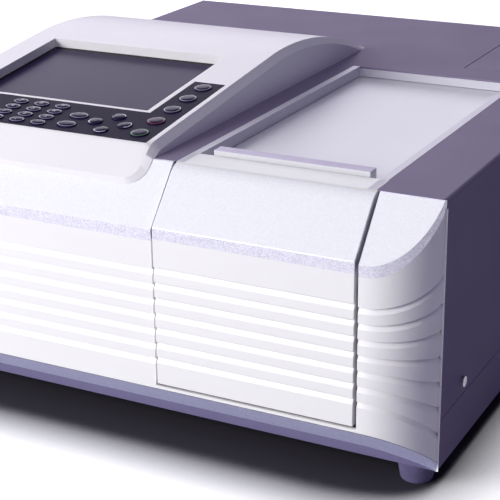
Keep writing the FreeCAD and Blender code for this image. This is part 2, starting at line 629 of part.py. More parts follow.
# Compartment tub: black box with two beam windows in each side wall.
tub_outer = block("tub_outer", ("tub_left", "tub_right"), ("front + tub_front", "front + tub_front + tub_length"),
                  ("bench_top", "tub_top"))
tub_rim = block("tub_rim", ("tub_left - tub_flange", "tub_right + tub_flange"),
                ("front + tub_front", "front + tub_front + tub_length"),
                ("rail_bottom - seam - 3", "rail_bottom - seam"))
tub_hollow = block("tub_hollow", ("tub_left + tub_wall", "tub_right - tub_wall"),
                   ("front + tub_front + tub_wall", "front + tub_front + tub_length - tub_wall"),
                   ("bench_top + tub_wall", "tub_top + 1"))
beam_holes = [
    block("beam_hole_" + name, ("tub_left - tub_flange", "tub_right + tub_flange"),
          (f"{y} - window_size / 2", f"{y} + window_size / 2"),
          ("beam_height - window_size / 2", "beam_height + window_size / 2"))
    for name, y in (("sample", "sample_y"), ("reference", "reference_y"))
]
node("compartment_tub", cut("compartment_tub", fuse("tub_body", [tub_outer, tub_rim]), tub_hollow, *beam_holes))


def cell_holder(name, y):
    """Square block with a pocket for one cell and a slot through it for a beam."""
    body = block(name + "_body", ("frame_middle - holder_size / 2", "frame_middle + holder_size / 2"),
                 (f"{y} - holder_size / 2", f"{y} + holder_size / 2"),
                 ("bench_top + tub_wall", "beam_height + holder_over_beam"))
    pocket = block(name + "_pocket", ("frame_middle - cell_size / 2", "frame_middle + cell_size / 2"),
                   (f"{y} - cell_size / 2", f"{y} + cell_size / 2"),
                   ("beam_height + holder_over_beam - cell_depth", "beam_height + holder_over_beam + 1"))
    slot = block(name + "_slot", ("frame_middle - holder_size", "frame_middle + holder_size"),
                 (f"{y} - holder_slot / 2", f"{y} + holder_slot / 2"),
                 ("beam_height - holder_slot", "beam_height + holder_slot"))
    return cut(name, body, pocket, slot)


node("cell_holders", group("cell_holders", [cell_holder("cell_holder_sample", "sample_y"),
                                            cell_holder("cell_holder_reference", "reference_y")]))

# Console: tilted display face with a lip down over the fascia's slope and a hump behind the crest.
slab_angle = math.radians(size.slab_tilt)
slab_wall = size.console_wall * math.cos(slab_angle)
crest_up = place.slab_up + (size.crest - size.slab_start) * math.tan(slab_angle)


def console_prism(x_low, x_high, run, drop, inset, bottom):
    """The console's side outline, lowered by drop and run along (run, 0, lift)."""
    start = FreeCAD.Vector(x_low, place.front, place.floor)

    def at(y, z):
        return start + FreeCAD.Vector(0, y, z)

    lip_y = -size.console_lip_front
    tail_y = size.console_tail - inset * 4
    points = [at(*pair) for pair in bottom]
    points += [at(lip_y, place.lip_up - drop), at(size.slab_start, place.slab_up - drop),
               at(size.crest, crest_up - drop)]
    if inset:
        front_up = place.slab_up + inset * math.tan(slab_angle)
        points = [at(size.slab_start + inset, 0), at(size.slab_start + inset, front_up - drop),
                  at(size.crest, crest_up - drop)]
    tail = at(tail_y, size.body_height - drop if run else size.body_height)
    edges = [Part.LineSegment(a, b).toShape() for a, b in zip(points, points[1:])]
    edges.append(Part.Arc(points[-1], at(size.hump_mid, place.hump_mid_up - drop), tail).toShape())
    last = [tail, at(tail_y, bottom[0][1]), points[0]] if tail.z != points[0].z else [tail, points[0]]
    edges += [Part.LineSegment(a, b).toShape() for a, b in zip(last, last[1:]) if a != b]
    lift = abs(run)
    return Part.Face(Part.Wire(edges)).extrude(FreeCAD.Vector(run or x_high - x_low, 0, lift))


lip_underside = [(0, size.body_height), (-size.slope_start, size.body_height + 0.7),
                 (-size.console_lip_front, place.lip_under_up)]
deep_underside = [(0, -size.body_width), (-size.console_lip_front, -size.body_width)]
console = console_prism(place.console_left, place.console_right, 0, 0, 0, lip_underside)
reach_x = size.console_width
console = console.common(console_prism(place.console_right, 0, -reach_x, size.console_chamfer, 0, deep_underside))
console = console.common(console_prism(place.console_left, 0, reach_x, size.console_chamfer, 0, deep_underside))
plan = Part.makeBox(size.console_width, size.console_tail + size.console_lip_front, size.body_height,
                    FreeCAD.Vector(place.console_left, place.front - size.console_lip_front,
                                   place.floor + size.body_height / 2))
plan = plan.makeFillet(size.console_corner, [
    edge for edge in plan.Edges
    if edge.Length > size.body_height - 1 and abs(edge.tangentAt(edge.FirstParameter).z) > 0.9
    and edge.CenterOfMass.y < place.front])
console = console.common(plan)
cavity = console_prism(place.console_left + size.console_wall, place.console_right - size.console_wall, 0,
                       size.console_wall, size.console_wall, [(0, 0)])
console = console.cut(cavity)

SLAB = FreeCAD.Placement(FreeCAD.Vector(place.face_x, place.front + size.slab_start, place.floor + place.slab_up),
                         FreeCAD.Rotation(FreeCAD.Vector(1, 0, 0), size.slab_tilt))


def on_slab(shape):
    """Carry a shape from the display face's own frame (x, up the face, out of it) to its place."""
    moved = shape.copy()
    moved.Placement = SLAB.multiply(moved.Placement)
    return moved


def slab_box(x, v, w):
    return Part.makeBox(x[1] - x[0], v[1] - v[0], w[1] - w[0], FreeCAD.Vector(x[0], v[0], w[0]))


display_x = (size.display_left, size.display_left + size.display_width)
display_v = (size.display_start, size.display_start + size.display_length)
border = size.display_border
glass_x = (display_x[0] - border, display_x[1] + border)
glass_v = (display_v[0] - border / 2, display_v[1] + border)
rim = 1.5
console = console.fuse(on_slab(slab_box((glass_x[0] - rim, glass_x[1] + rim), (glass_v[0] - rim, glass_v[1] + rim),
                                        (-size.display_sink, -slab_wall + 0.1))))
through = (-2 * size.display_sink, 2 * size.console_wall)
console = console.cut(on_slab(slab_box(display_x, display_v, through)))


def overlay_shape(grow, low, high):
    """The keypad overlay's L shape on the display face."""
    lower = slab_box((size.overlay_left - grow, size.overlay_right + grow),
                     (size.overlay_start - grow, size.overlay_start + size.overlay_length + grow), (low, high))
    arm = slab_box((size.overlay_arm_left - grow, size.overlay_right + grow),
                   (size.overlay_start - grow, size.overlay_arm_end + grow), (low, high))
    return lower.fuse(arm).removeSplitter()


def key_shape(width, length, low, high):
    """Upright elliptic or round key body on the display face."""
    if abs(width - length) < 0.01:
        return Part.makeCylinder(width / 2, high - low, FreeCAD.Vector(0, 0, low))
    ellipse = Part.Ellipse(FreeCAD.Vector(0, 0, low), width / 2, length / 2)
    return Part.Face(Part.Wire(ellipse.toShape())).extrude(FreeCAD.Vector(0, 0, high - low))


KEYS = []
for row in range(4):
    for column in range(3):
        KEYS.append((f"number_key_{3 * row + column + 1}", size.digit_left + column * size.digit_column_pitch,
                     size.digit_start + row * size.digit_row_pitch, size.digit_width, size.digit_length))
for number in range(2):
    KEYS.append((f"oval_key_{number + 1}", size.oval_middle, size.oval_start + number * size.oval_pitch,
                 size.oval_width, size.oval_length))
for name, across, along in (("left", -1, 0), ("right", 1, 0), ("down", 0, -1), ("up", 0, 1)):
    KEYS.append((f"arrow_key_{name}", size.arrow_middle + across * size.arrow_radius,
                 size.arrow_centre_start + along * size.arrow_radius, size.arrow_diameter, size.arrow_diameter))
for number in range(5):
    KEYS.append((f"function_key_{number + 1}", size.function_middle, size.function_start + number * size.function_pitch,
                 size.function_diameter, size.function_diameter))

console = console.cut(on_slab(overlay_shape(size.overlay_gap, -size.overlay_thickness, 3)))
overlay = overlay_shape(0, -size.overlay_thickness, 0)
for name, x, v, width, length in KEYS:
    hole = key_shape(width + 2 * size.key_gap, length + 2 * size.key_gap, *through)
    hole.translate(FreeCAD.Vector(x, v, 0))
    overlay = overlay.cut(hole)
    cap = key_shape(width, length, -size.key_skirt, size.key_rise)
    cap.translate(FreeCAD.Vector(x, v, 0))
    node(name, shaped(name, on_slab(cap)))
for block_name in ("number", "oval", "arrow", "function"):
    members = [row[1:] for row in KEYS if row[0].startswith(block_name)]
    spread = [(x - width / 2, x + width / 2, v - length / 2, v + length / 2) for x, v, width, length in members]
    low_x, high_x, low_v, high_v = [pick(column) for pick, column in zip((min, max, min, max), zip(*spread))]
    room = size.key_window_margin
    console = console.cut(on_slab(slab_box((low_x - room, high_x + room), (low_v - room, high_v + room), through)))
node("console_housing", shaped("console_housing", console))
node("keypad_overlay", shaped("keypad_overlay", on_slab(overlay)))
glass_low = -size.display_sink - size.glass_thickness
node("display_window", shaped("display_window", on_slab(slab_box(glass_x, glass_v, (glass_low, -size.display_sink)))))
module_low = glass_low - size.display_module_depth
node("display_module", shaped("display_module", on_slab(slab_box(glass_x, (glass_v[0] + 3, glass_v[1]),
                                                                (module_low, glass_low)))))
board_top = -size.key_board_sink
board_low = board_top - size.key_board_thickness
board_right = size.overlay_right - 1
lower_board = slab_box((size.overlay_left, board_right), (4, glass_v[0] - rim - 0.5), (board_low, board_top))
arm_board = slab_box((glass_x[1] + rim + 0.5, board_right), (4, size.overlay_arm_end), (board_low, board_top))
half_peg = size.key_peg / 2
peg_right = board_right - half_peg
PEGS = [(-150, 20), ((size.digit_left + 2 * size.digit_column_pitch + size.oval_middle) / 2, 27),
        (size.oval_middle, 44), (peg_right, 27), (peg_right, 99)]
board_pegs = [slab_box((x - half_peg, x + half_peg), (v - half_peg, v + half_peg), (board_top - 0.1, -slab_wall))
              for x, v in PEGS]
key_board = lower_board.fuse([arm_board] + board_pegs)
node("keypad_board", shaped("keypad_board", on_slab(key_board)))

# Optical bench: cast plate on posts that carries the optics, the tub and the lamp house.
bench_main = block("bench_main", ("-right + bench_margin", "right - bench_margin"),
                   ("front + bench_margin", "front + bench_margin + bench_length"), ("bench_bottom", "bench_top"))
bench_tail = block("bench_tail", ("bench_tail_left", "right - bench_margin"),
                   ("front + bench_margin", "front + bench_margin + bench_length + bench_tail_length"),
                   ("bench_bottom", "bench_top"))
BENCH_POSTS = [(x, y) for x in ("-right + 40", "0", "right - 40") for y in ("front + 40", "front + 300")]
BENCH_POSTS.append(("right - 40", "back - 40"))
bench_posts = [
    block(f"bench_post_{number}", (f"{x} - bench_post_width / 2", f"{x} + bench_post_width / 2"),
          (f"{y} - bench_post_width / 2", f"{y} + bench_post_width / 2"), ("floor + sheet_wall", "bench_bottom + 1"))
    for number, (x, y) in enumerate(BENCH_POSTS)
]
pivot_boss = rod("pivot_boss", "z", ("turntable_left", "turntable_y", "bench_top"), "12", "20")
pivot_hole = rod("pivot_hole", "z", ("turntable_left", "turntable_y", "bench_bottom + 2"),
                 "shaft_radius + running_gap", "40")
bearing_y = "turntable_y + sine_arm_length + lead_screw_offset"
screw_bearing = block("screw_bearing", ("turntable_left - lead_screw_start", "turntable_left - lead_screw_start + 7"),
                      (f"{bearing_y} - 7", f"{bearing_y} + 7"), ("bench_top", "bench_top + 20"))
bearing_hole = rod("bearing_hole", "x", ("turntable_left - lead_screw_start - 1", bearing_y, "bench_top + 12"),
                   "lead_screw_radius + running_gap", "10")
bench_body = fuse("bench_body", [bench_main, bench_tail, pivot_boss, screw_bearing] + bench_posts)
node("optical_bench", cut("optical_bench", bench_body, pivot_hole, bearing_hole))

# Grating drive: a motor turns the lead screw, whose nut pushes the sine arm of the grating table.
table_low = "bench_top + 20.3"
table_top = "bench_top + 20.3 + turntable_thickness"
roller_y = "turntable_y + sine_arm_length"
node("grating_turntable", fuse("grating_turntable", [
    rod("table_disc", "z", ("turntable_left", "turntable_y", table_low), "turntable_radius", "turntable_thickness"),
    rod("table_shaft", "z", ("turntable_left", "turntable_y", "bench_bottom + 3"), "shaft_radius",
        "bench_thickness + 18.3"),
    block("sine_arm", ("turntable_left - 6", "turntable_left + 6"), ("turntable_y", roller_y), (table_low, table_top)),
    rod("sine_roller", "z", ("turntable_left", roller_y, "bench_top + 10"), "roller_radius",
        "10.3 + turntable_thickness"),
    block("grating_mount", ("turntable_left - grating_size / 2", "turntable_left + grating_size / 2"),
          ("turntable_y - 14", "turntable_y - 6"), (table_top, f"{table_top} + 60")),
    block("ruled_grating", ("turntable_left - grating_size / 2 + 2", "turntable_left + grating_size / 2 - 2"),
          ("turntable_y - 20", "turntable_y - 14"),
          ("beam_height - grating_size / 2", "beam_height + grating_size / 2")),
]))
screw_y = f"{roller_y} + lead_screw_offset"
screw_z = "bench_top + 12"
nut_left = "turntable_left + roller_radius + seam"
nut_bore = rod("nut_bore", "x", (f"{nut_left} - 1", screw_y, screw_z), "lead_screw_radius + running_gap", "nut_size + 2")
nut_solid = fuse("nut_solid", [
    block("nut_body", (nut_left, f"{nut_left} + nut_size"), (f"{screw_y} - nut_size / 2", f"{screw_y} + nut_size / 2"),
          ("bench_top + seam", "bench_top + 20")),
    block("nut_tongue", (nut_left, f"{nut_left} + nut_size / 2"), (f"{roller_y} - 9", f"{screw_y}"),
          ("bench_top + seam", "bench_top + 20")),
])
node("drive_nut", cut("drive_nut", nut_solid, nut_bore))
screw_start = "turntable_left - lead_screw_start"
node("lead_screw", rod("lead_screw", "x", (screw_start, screw_y, screw_z), "lead_screw_radius", "lead_screw_length"))
motor_left = f"{screw_start} + lead_screw_length - 9"


def stepper_motor(name, axis, shaft_point, body, depth):
    """Square motor with chamfer-free case, bored for the shaft that it turns."""
    case = block(name + "_case", *body)
    bore = rod(name + "_bore", axis, shaft_point, "lead_screw_radius + running_gap", depth)
    return cut(name, case, bore)


scan_motor = stepper_motor(
    "scan_motor", "x", (f"{motor_left} - 1", screw_y, screw_z),
    ((motor_left, f"{motor_left} + motor_length"), (f"{screw_y} - motor_size / 2", f"{screw_y} + motor_size / 2"),
     ("bench_top", f"{screw_z} + motor_size / 2")), "11")

# Monochromator mirrors and slits stand on the bench on the left, the beam splitter by the tub.
MIRRORS = [
    ("collimating_mirror", -205, 60, 0), ("camera_mirror", -160, 34, 0), ("entrance_slit", -60, 250, 0),
    ("exit_slit", -40, 60, 0), ("beam_splitter", 0, 76, 45), ("fold_mirror", 0, 166, 45),
    ("source_mirror", 30, 262, 45),
]


def mirror_stand(name, x, y, turn):
    """Upright plate on a foot, turned about the vertical through its middle."""
    spread = size.mirror_size / 2
    foot_box = Part.makeBox(2 * spread, 16, 6, FreeCAD.Vector(-spread, -8, 0))
    beam_over_bench = size.beam_up - size.bench_up - size.bench_thickness
    plate = Part.makeBox(2 * spread, 5, beam_over_bench + spread, FreeCAD.Vector(-spread, -2.5, 0))
    aperture = Part.makeBox(1.5, 20, 12, FreeCAD.Vector(-0.75, -10, beam_over_bench - 6))
    stand = foot_box.fuse(plate)
    if name.endswith("slit"):
        stand = stand.cut(aperture)
    stand.Placement = FreeCAD.Placement(FreeCAD.Vector(x, place.front + y, place.bench_top),
                                        FreeCAD.Rotation(FreeCAD.Vector(0, 0, 1), turn))
    return shaped(name, stand)


node("mirror_stands", group("mirror_stands", [mirror_stand(*row) for row in MIRRORS]))

# Filter wheel on its motor, before the entrance slit.
wheel_x, wheel_y = "-110", "front + 285"
wheel_z = "beam_height - filter_wheel_radius + filter_radius + 4"
wheel_disc = rod("wheel_disc", "y", (wheel_x, wheel_y, wheel_z), "filter_wheel_radius", "3")
wheel_hub = rod("wheel_hub", "y", (wheel_x, f"{wheel_y} - 3", wheel_z), "6", "8")
wheel_bore = rod("wheel_bore", "y", (wheel_x, f"{wheel_y} - 5", wheel_z), "2 + running_gap", "20")
wheel_orbit = size.filter_wheel_radius - size.filter_radius - 4
filter_holes = []
for number in range(int(size.filter_count)):
    angle = 2 * math.pi * number / size.filter_count
    across, above = wheel_orbit * math.sin(angle), wheel_orbit * math.cos(angle)
    filter_holes.append(rod(f"filter_hole_{number}", "y",
                            (f"{wheel_x} + {across:.4f}", f"{wheel_y} - 2", f"{wheel_z} + {above:.4f}"),
                            "filter_radius", "8"))
node("filter_wheel", cut("filter_wheel", fuse("wheel_body", [wheel_disc, wheel_hub]), wheel_bore, *filter_holes))
wheel_motor = fuse("filter_wheel_motor", [
    block("wheel_motor_case", (f"{wheel_x} - 15", f"{wheel_x} + 15"), (f"{wheel_y} + 6", f"{wheel_y} + 26"),
          ("bench_top", f"{wheel_z} + 15")),
    rod("wheel_motor_shaft", "y", (wheel_x, f"{wheel_y} - 3", wheel_z), "2", "12"),
])
node("stepper_motors", group("stepper_motors", [scan_motor, wheel_motor]))

# Lamp house under the lamp cover: open tray with both lamps and the mirror that picks one.
house_x = ("access_left + 3", "access_right - 3")
house_y = ("front + access_front + 6", "front + access_front + access_length - 12")
house_z = ("bench_top", "bench_top + lamp_house_height")
house_outer = block("house_outer", house_x, house_y, house_z)
house_hollow = block("house_hollow", (f"{house_x[0]} + lamp_house_wall", f"{house_x[1]} - lamp_house_wall"),
                     (f"{house_y[0]} + lamp_house_wall", f"{house_y[1]} - lamp_house_wall"),
                     ("bench_top + lamp_house_wall", "bench_top + lamp_house_height + 1"))
house_window = rod("house_window", "x", (f"{house_x[0]} - 5", "front + 422", "beam_height"), "9", "12")
house_vents = [
    block(f"house_vent_{number}", (f"{house_x[0]} + {12 + 14 * number}", f"{house_x[0]} + {18 + 14 * number}"),
          (f"{house_y[1]} - 5", f"{house_y[1]} + 5"), ("bench_top + 25", "bench_top + 85"))
    for number in range(5)
]
node("lamp_house", cut("lamp_house", house_outer, house_hollow, house_window, *house_vents))
lamp_floor = "bench_top + lamp_house_wall"
lamp_x = "(access_left + access_right) / 2 + 14"


def bulb_tip(name, y, radius, height):
    """Conical end of a fused bulb, where it was sealed."""
    tip = doc.addObject("Part::Cone", name + "_tip")
    for prop, rule in (("Radius1", radius), ("Radius2", f"{radius} / 4"), ("Height", f"{radius} * 3 / 4")):
        tip.setExpression(prop, bound(rule))
    set_base(tip, (lamp_x, y, height))
    return tip


deuterium_y = "front + 452"
node("deuterium_lamp", fuse("deuterium_lamp", [
    rod("deuterium_base", "z", (lamp_x, deuterium_y, lamp_floor), "deuterium_radius + 6", "22"),
    rod("deuterium_bulb", "z", (lamp_x, deuterium_y, f"{lamp_floor} + 20"), "deuterium_radius", "46"),
    bulb_tip("deuterium", deuterium_y, "deuterium_radius", f"{lamp_floor} + 66"),
]))
halogen_y = "front + 380"
node("tungsten_lamp", fuse("tungsten_lamp", [
    block("halogen_base", (f"{lamp_x} - 12", f"{lamp_x} + 12"), (f"{halogen_y} - 10", f"{halogen_y} + 10"),
          (lamp_floor, f"{lamp_floor} + 34")),
    rod("halogen_bulb", "z", (lamp_x, halogen_y, f"{lamp_floor} + 30"), "halogen_radius", "30"),
    bulb_tip("halogen", halogen_y, "halogen_radius", f"{lamp_floor} + 60"),
]))
mirror_x, mirror_y = "access_left + 24", "front + 416"
node("lamp_mirror", fuse("lamp_mirror", [
    rod("lamp_mirror_post", "z", (mirror_x, mirror_y, f"{lamp_floor} + 0.3"), "5", "24"),
    block("lamp_mirror_plate", (f"{mirror_x} - 12", f"{mirror_x} + 12"), (f"{mirror_y} - 2", f"{mirror_y} + 2"),
          (f"{lamp_floor} + 20", f"{lamp_floor} + 80")),
]))

# Detectors: one block on a foot behind each right-hand window of the tub.
detectors = []
for name, y in (("sample", "sample_y"), ("reference", "reference_y")):
    detectors.append(fuse("detector_" + name, [
        block(f"detector_{name}_case", ("frame_right + 1", "frame_right + 1 + detector_depth"),
              (f"{y} - detector_size / 2", f"{y} + detector_size / 2"),
              ("beam_height - detector_size / 2", "beam_height + detector_size / 2")),
        block(f"detector_{name}_foot", ("frame_right + 4", "frame_right + 10"), (f"{y} - 12", f"{y} + 12"),
              ("bench_top", "beam_height")),
        rod(f"detector_{name}_nose", "x", ("tub_right + 0.4", y, "beam_height"), "7",
            "frame_right - tub_right + 2"),
    ]))
node("detector_modules", group("detector_modules", detectors))

# Electronics at the rear left: power supply, main board with the rear connectors, and fan.
supply_box = block("supply_box", ("-right + 12", "-right + 104"), ("back - 175", "back - 32"),
                   ("floor + sheet_wall", "floor + 46"))
supply_vents = [
    block(f"supply_vent_{number}", ("-right + 24", "-right + 92"),
          (f"back - {160 - 14 * number}", f"back - {154 - 14 * number}"), ("floor + 43", "floor + 50"))
    for number in range(8)
]
node("power_supply", cut("power_supply", supply_box, *supply_vents))
board_z = "floor + board_up"
board_parts = [block("main_pcb", ("-right + 112", "56"), ("back - 172", "back - 4"), (board_z, port_low))]
board_parts += [
    block(f"standoff_{number}", (f"{x} - 3", f"{x} + 3"), (f"{y} - 3", f"{y} + 3"), ("floor + sheet_wall", board_z))
    for number, (x, y) in enumerate((x, y) for x in ("-right + 118", "50") for y in ("back - 166", "back - 12"))
]
board_parts += [
    block("processor_heat_sink", ("-90", "-50"), ("back - 140", "back - 100"), (port_low, f"{port_low} + 12.4")),
    block("signal_can", ("-30", "20"), ("back - 150", "back - 100"), (port_low, f"{port_low} + 14.4")),
    rod("board_capacitor", "z", ("0", "back - 70", port_low), "8", "22"),
]
board_parts += [
    block(name, (f"{x - width / 2}", f"{x + width / 2}"), ("back - 18", "back + 1.2"),
          (port_low, f"{port_low} + {height}"))
    for name, x, width, height in PORTS
]
board_joined = fuse("board_joined", board_parts)
port_hollows = [
    block(name + "_hollow", (f"{x - width / 2 + 1.2}", f"{x + width / 2 - 1.2}"), ("back - 6", "back + 3"),
          (f"{port_low} + 1.2", f"{port_low} + {height - 1.2}"))
    for name, x, width, height in PORTS
]
node("main_board", cut("main_board", board_joined, *port_hollows))

fan_front = "back - sheet_wall - fan_depth"
fan_case = block("fan_case", ("fan_left - fan_size / 2", "fan_left + fan_size / 2"), (fan_front, "back - sheet_wall"),
                 ("fan_z - fan_size / 2", "fan_z + fan_size / 2"))
fan_bore = rod("fan_bore", "y", ("fan_left", f"{fan_front} - 1", "fan_z"), "fan_size / 2 - 2", "fan_depth + 2")
fan_struts = [
    block("fan_strut_flat", ("fan_left - fan_size / 2 + 1", "fan_left + fan_size / 2 - 1"),
          (fan_front, f"{fan_front} + 3"), ("fan_z - 2", "fan_z + 2")),
    block("fan_strut_upright", ("fan_left - 2", "fan_left + 2"), (fan_front, f"{fan_front} + 3"),
          ("fan_z - fan_size / 2 + 1", "fan_z + fan_size / 2 - 1")),
    rod("fan_motor", "y", ("fan_left", fan_front, "fan_z"), "fan_hub_radius", "4"),
    rod("fan_pin", "y", ("fan_left", fan_front, "fan_z"), "2", "18"),
]
node("fan_frame", fuse("fan_frame", [cut("fan_ring", fan_case, fan_bore)] + fan_struts))


def fan_rotor_shape():
    """Hub with twisted-flat blades about the Y axis."""
    depth = size.fan_depth - 4.5 - 2
    hub = Part.makeCylinder(size.fan_hub_radius, depth, FreeCAD.Vector(), FreeCAD.Vector(0, 1, 0))
    tip = size.fan_size / 2 - 2 - size.fan_tip_gap
    rotor = hub
    for number in range(int(size.fan_blades)):
        blade = Part.makeBox(2, depth - 2, tip - size.fan_hub_radius + 3,
                             FreeCAD.Vector(-1, -(depth - 2) / 2, size.fan_hub_radius - 2))
        blade.rotate(FreeCAD.Vector(), FreeCAD.Vector(0, 0, 1), 38)
        blade.translate(FreeCAD.Vector(0, depth / 2, 0))
        blade.rotate(FreeCAD.Vector(), FreeCAD.Vector(0, 1, 0), 360 / size.fan_blades * number)
        rotor = rotor.fuse(blade)
    rotor = rotor.common(Part.makeCylinder(tip, depth, FreeCAD.Vector(), FreeCAD.Vector(0, 1, 0)))
    bore = Part.makeCylinder(2.06, depth + 2, FreeCAD.Vector(0, -1, 0), FreeCAD.Vector(0, 1, 0))
    return rotor.cut(bore)


rotor = shaped("fan_rotor", fan_rotor_shape())
rotor.Placement = FreeCAD.Placement(
    FreeCAD.Vector(size.fan_left, place.back - size.sheet_wall - size.fan_depth + 4.5, place.fan_z), FreeCAD.Rotation())
node("fan_rotor", rotor)

# Power inlet: flanged module with a three pin socket below and the rocker above.
inlet_flange = block("inlet_flange", ("inlet_left - inlet_width / 2", "inlet_left + inlet_width / 2"),
                     ("back", "back + rear_proud"), ("inlet_bottom", "inlet_bottom + inlet_height"))
inlet_body = block("inlet_body", ("inlet_left - inlet_width / 2 + 2.3", "inlet_left + inlet_width / 2 - 2.3"),
                   ("back - inlet_body_depth", "back"), ("inlet_bottom + 2.3", "inlet_bottom + inlet_height - 2.3"))
socket_z = "inlet_bottom + 20"
socket_hollow = block("socket_hollow", ("inlet_left - socket_width / 2", "inlet_left + socket_width / 2"),
                      ("back + rear_proud - socket_depth", "back + rear_proud + 1"),
                      (f"{socket_z} - socket_height / 2", f"{socket_z} + socket_height / 2"))
rocker_z = "inlet_bottom + inlet_height - 17"
rocker_window = block("rocker_window", ("inlet_left - rocker_width / 2 - 0.4", "inlet_left + rocker_width / 2 + 0.4"),
                      ("back - 12", "back + rear_proud + 1"),
                      (f"{rocker_z} - rocker_radius - 0.4", f"{rocker_z} + rocker_radius + 0.4"))
inlet_shell = cut("inlet_shell", fuse("inlet_solid", [inlet_flange, inlet_body]), socket_hollow, rocker_window)
pins = [
    block(f"pin_{number}", (f"inlet_left + {x - 1}", f"inlet_left + {x + 1}"),
          ("back + rear_proud - socket_depth - 1", "back - 1"), (f"{socket_z} + {z - 2}", f"{socket_z} + {z + 2}"))
    for number, (x, z) in enumerate(((-7, -3.5), (0, 0.5), (7, -3.5)))
]
node("power_inlet", fuse("power_inlet", [inlet_shell] + pins))


def rocker_shape():
    """Barrel about the pivot whose outer side is cut to two pads that meet in a shallow valley."""
    barrel = Part.makeCylinder(size.rocker_radius, size.rocker_width, FreeCAD.Vector(-size.rocker_width / 2, 0, 0),
                               FreeCAD.Vector(1, 0, 0))
    valley = 3.4
    pad_edge = 5.6
    half = size.rocker_width
    top = size.rocker_radius + 1
    corners = [FreeCAD.Vector(-half, pad_edge, -top), FreeCAD.Vector(-half, valley, 0),
               FreeCAD.Vector(-half, pad_edge, top), FreeCAD.Vector(-half, 2 * top, top),
               FreeCAD.Vector(-half, 2 * top, -top)]
    above = Part.Face(Part.makePolygon(corners + corners[:1])).extrude(FreeCAD.Vector(2 * half, 0, 0))
    return barrel.cut(above)


rocker = shaped("power_rocker", rocker_shape())
rocker.Placement = FreeCAD.Placement(
    FreeCAD.Vector(size.inlet_left, place.back - size.rocker_sink, place.inlet_bottom + size.inlet_height - 17),
    FreeCAD.Rotation(FreeCAD.Vector(1, 0, 0), size.rocker_angle / 2))
node("power_rocker", rocker)

# Screws: three heads on each side hold the cover to the pan's flanges.
screws = []
for side, sign in (("left", -1), ("right", 1)):
    for number in range(3):
        head_x = "right" if sign > 0 else "-right - screw_head_height"
        y = f"front + screw_front + {number} * screw_pitch"
        screws.append(rod(f"screw_{side}_{number}", "x", (head_x, y, "floor + screw_up"), "screw_head_radius",
                          "screw_head_height"))
node("cover_screws", group("cover_screws", screws))

doc.recompute()
for item in doc.Objects:
    if "Invalid" in item.State or "Error" in item.State:
        raise RuntimeError(f"{item.Name} failed: {item.State}")
os.makedirs("parts", exist_ok=True)
for name, item in NODES.items():
    shape = item.Shape
    if shape.isNull() or not shape.isValid() or not shape.Solids:
        raise RuntimeError(f"{name} has no valid solid")
    shape.exportStep(f"parts/{name}.step")
    box = shape.BoundBox
    print(f"{name:26s} {len(shape.Solids)} solids {shape.Volume / 1000:9.2f} cm3  "
          f"x {box.XMin:7.1f} {box.XMax:7.1f}  y {box.YMin:7.1f} {box.YMax:7.1f}  z {box.ZMin:6.1f} {box.ZMax:6.1f}")
print(len(NODES), "nodes")
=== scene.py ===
"""Double beam spectrophotometer: the finish of every piece, in the order it is put together."""
import math

import bmesh
import bpy
from mathutils import Matrix, Vector


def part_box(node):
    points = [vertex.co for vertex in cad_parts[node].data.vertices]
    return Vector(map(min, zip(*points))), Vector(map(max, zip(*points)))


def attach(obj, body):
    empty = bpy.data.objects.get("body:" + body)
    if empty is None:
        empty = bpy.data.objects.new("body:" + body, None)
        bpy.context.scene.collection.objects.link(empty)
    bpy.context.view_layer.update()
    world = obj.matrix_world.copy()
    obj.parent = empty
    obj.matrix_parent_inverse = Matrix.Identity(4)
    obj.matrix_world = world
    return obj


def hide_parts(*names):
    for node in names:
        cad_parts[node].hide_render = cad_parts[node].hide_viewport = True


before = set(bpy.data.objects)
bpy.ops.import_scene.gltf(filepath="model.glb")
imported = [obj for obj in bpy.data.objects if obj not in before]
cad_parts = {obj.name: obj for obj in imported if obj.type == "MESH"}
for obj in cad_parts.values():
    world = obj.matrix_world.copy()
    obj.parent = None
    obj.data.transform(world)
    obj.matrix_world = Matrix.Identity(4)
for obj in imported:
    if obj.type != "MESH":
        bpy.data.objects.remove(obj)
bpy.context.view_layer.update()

# Base pan: a tray folded from steel sheet, with the fine powder paint of the whole cabinet.
# The optics and the electronics stand on it, and the cover is screwed to its inner flanges.
MM = 0.001
SHEET_EASE = 0.35  # rounding of a folded sheet's edges
EDGE_TURN = 28  # degrees from which an edge is rounded
SHADED_TURN = 30  # degrees from which an edge stays crisp in the shading


def rgb(red, green, blue):
    """A screen colour, 0 to 255 a channel, as linear light."""
    def linear(level):
        share = level / 255
        return share / 12.92 if share <= 0.04045 else ((share + 0.055) / 1.055) ** 2.4
    return (linear(red), linear(green), linear(blue), 1.0)


class Wire:
    """A node's output that takes part in arithmetic: every step becomes a Math node."""

    def __init__(self, finish, socket):
        self.finish = finish
        self.socket = socket

    def out(self, name):
        return Wire(self.finish, self.socket.node.outputs[name])

    def step(self, operation, first, second):
        return self.finish.add("ShaderNodeMath", {"operation": operation}, {0: first, 1: second})

    def __add__(self, other):
        return self.step("ADD", self, other)

    __radd__ = __add__

    def __sub__(self, other):
        return self.step("SUBTRACT", self, other)

    def __rsub__(self, other):
        return self.step("SUBTRACT", other, self)

    def __mul__(self, other):
        return self.step("MULTIPLY", self, other)

    __rmul__ = __mul__

    def __gt__(self, other):
        return self.step("GREATER_THAN", self, other)

    def __lt__(self, other):
        return self.step("LESS_THAN", self, other)


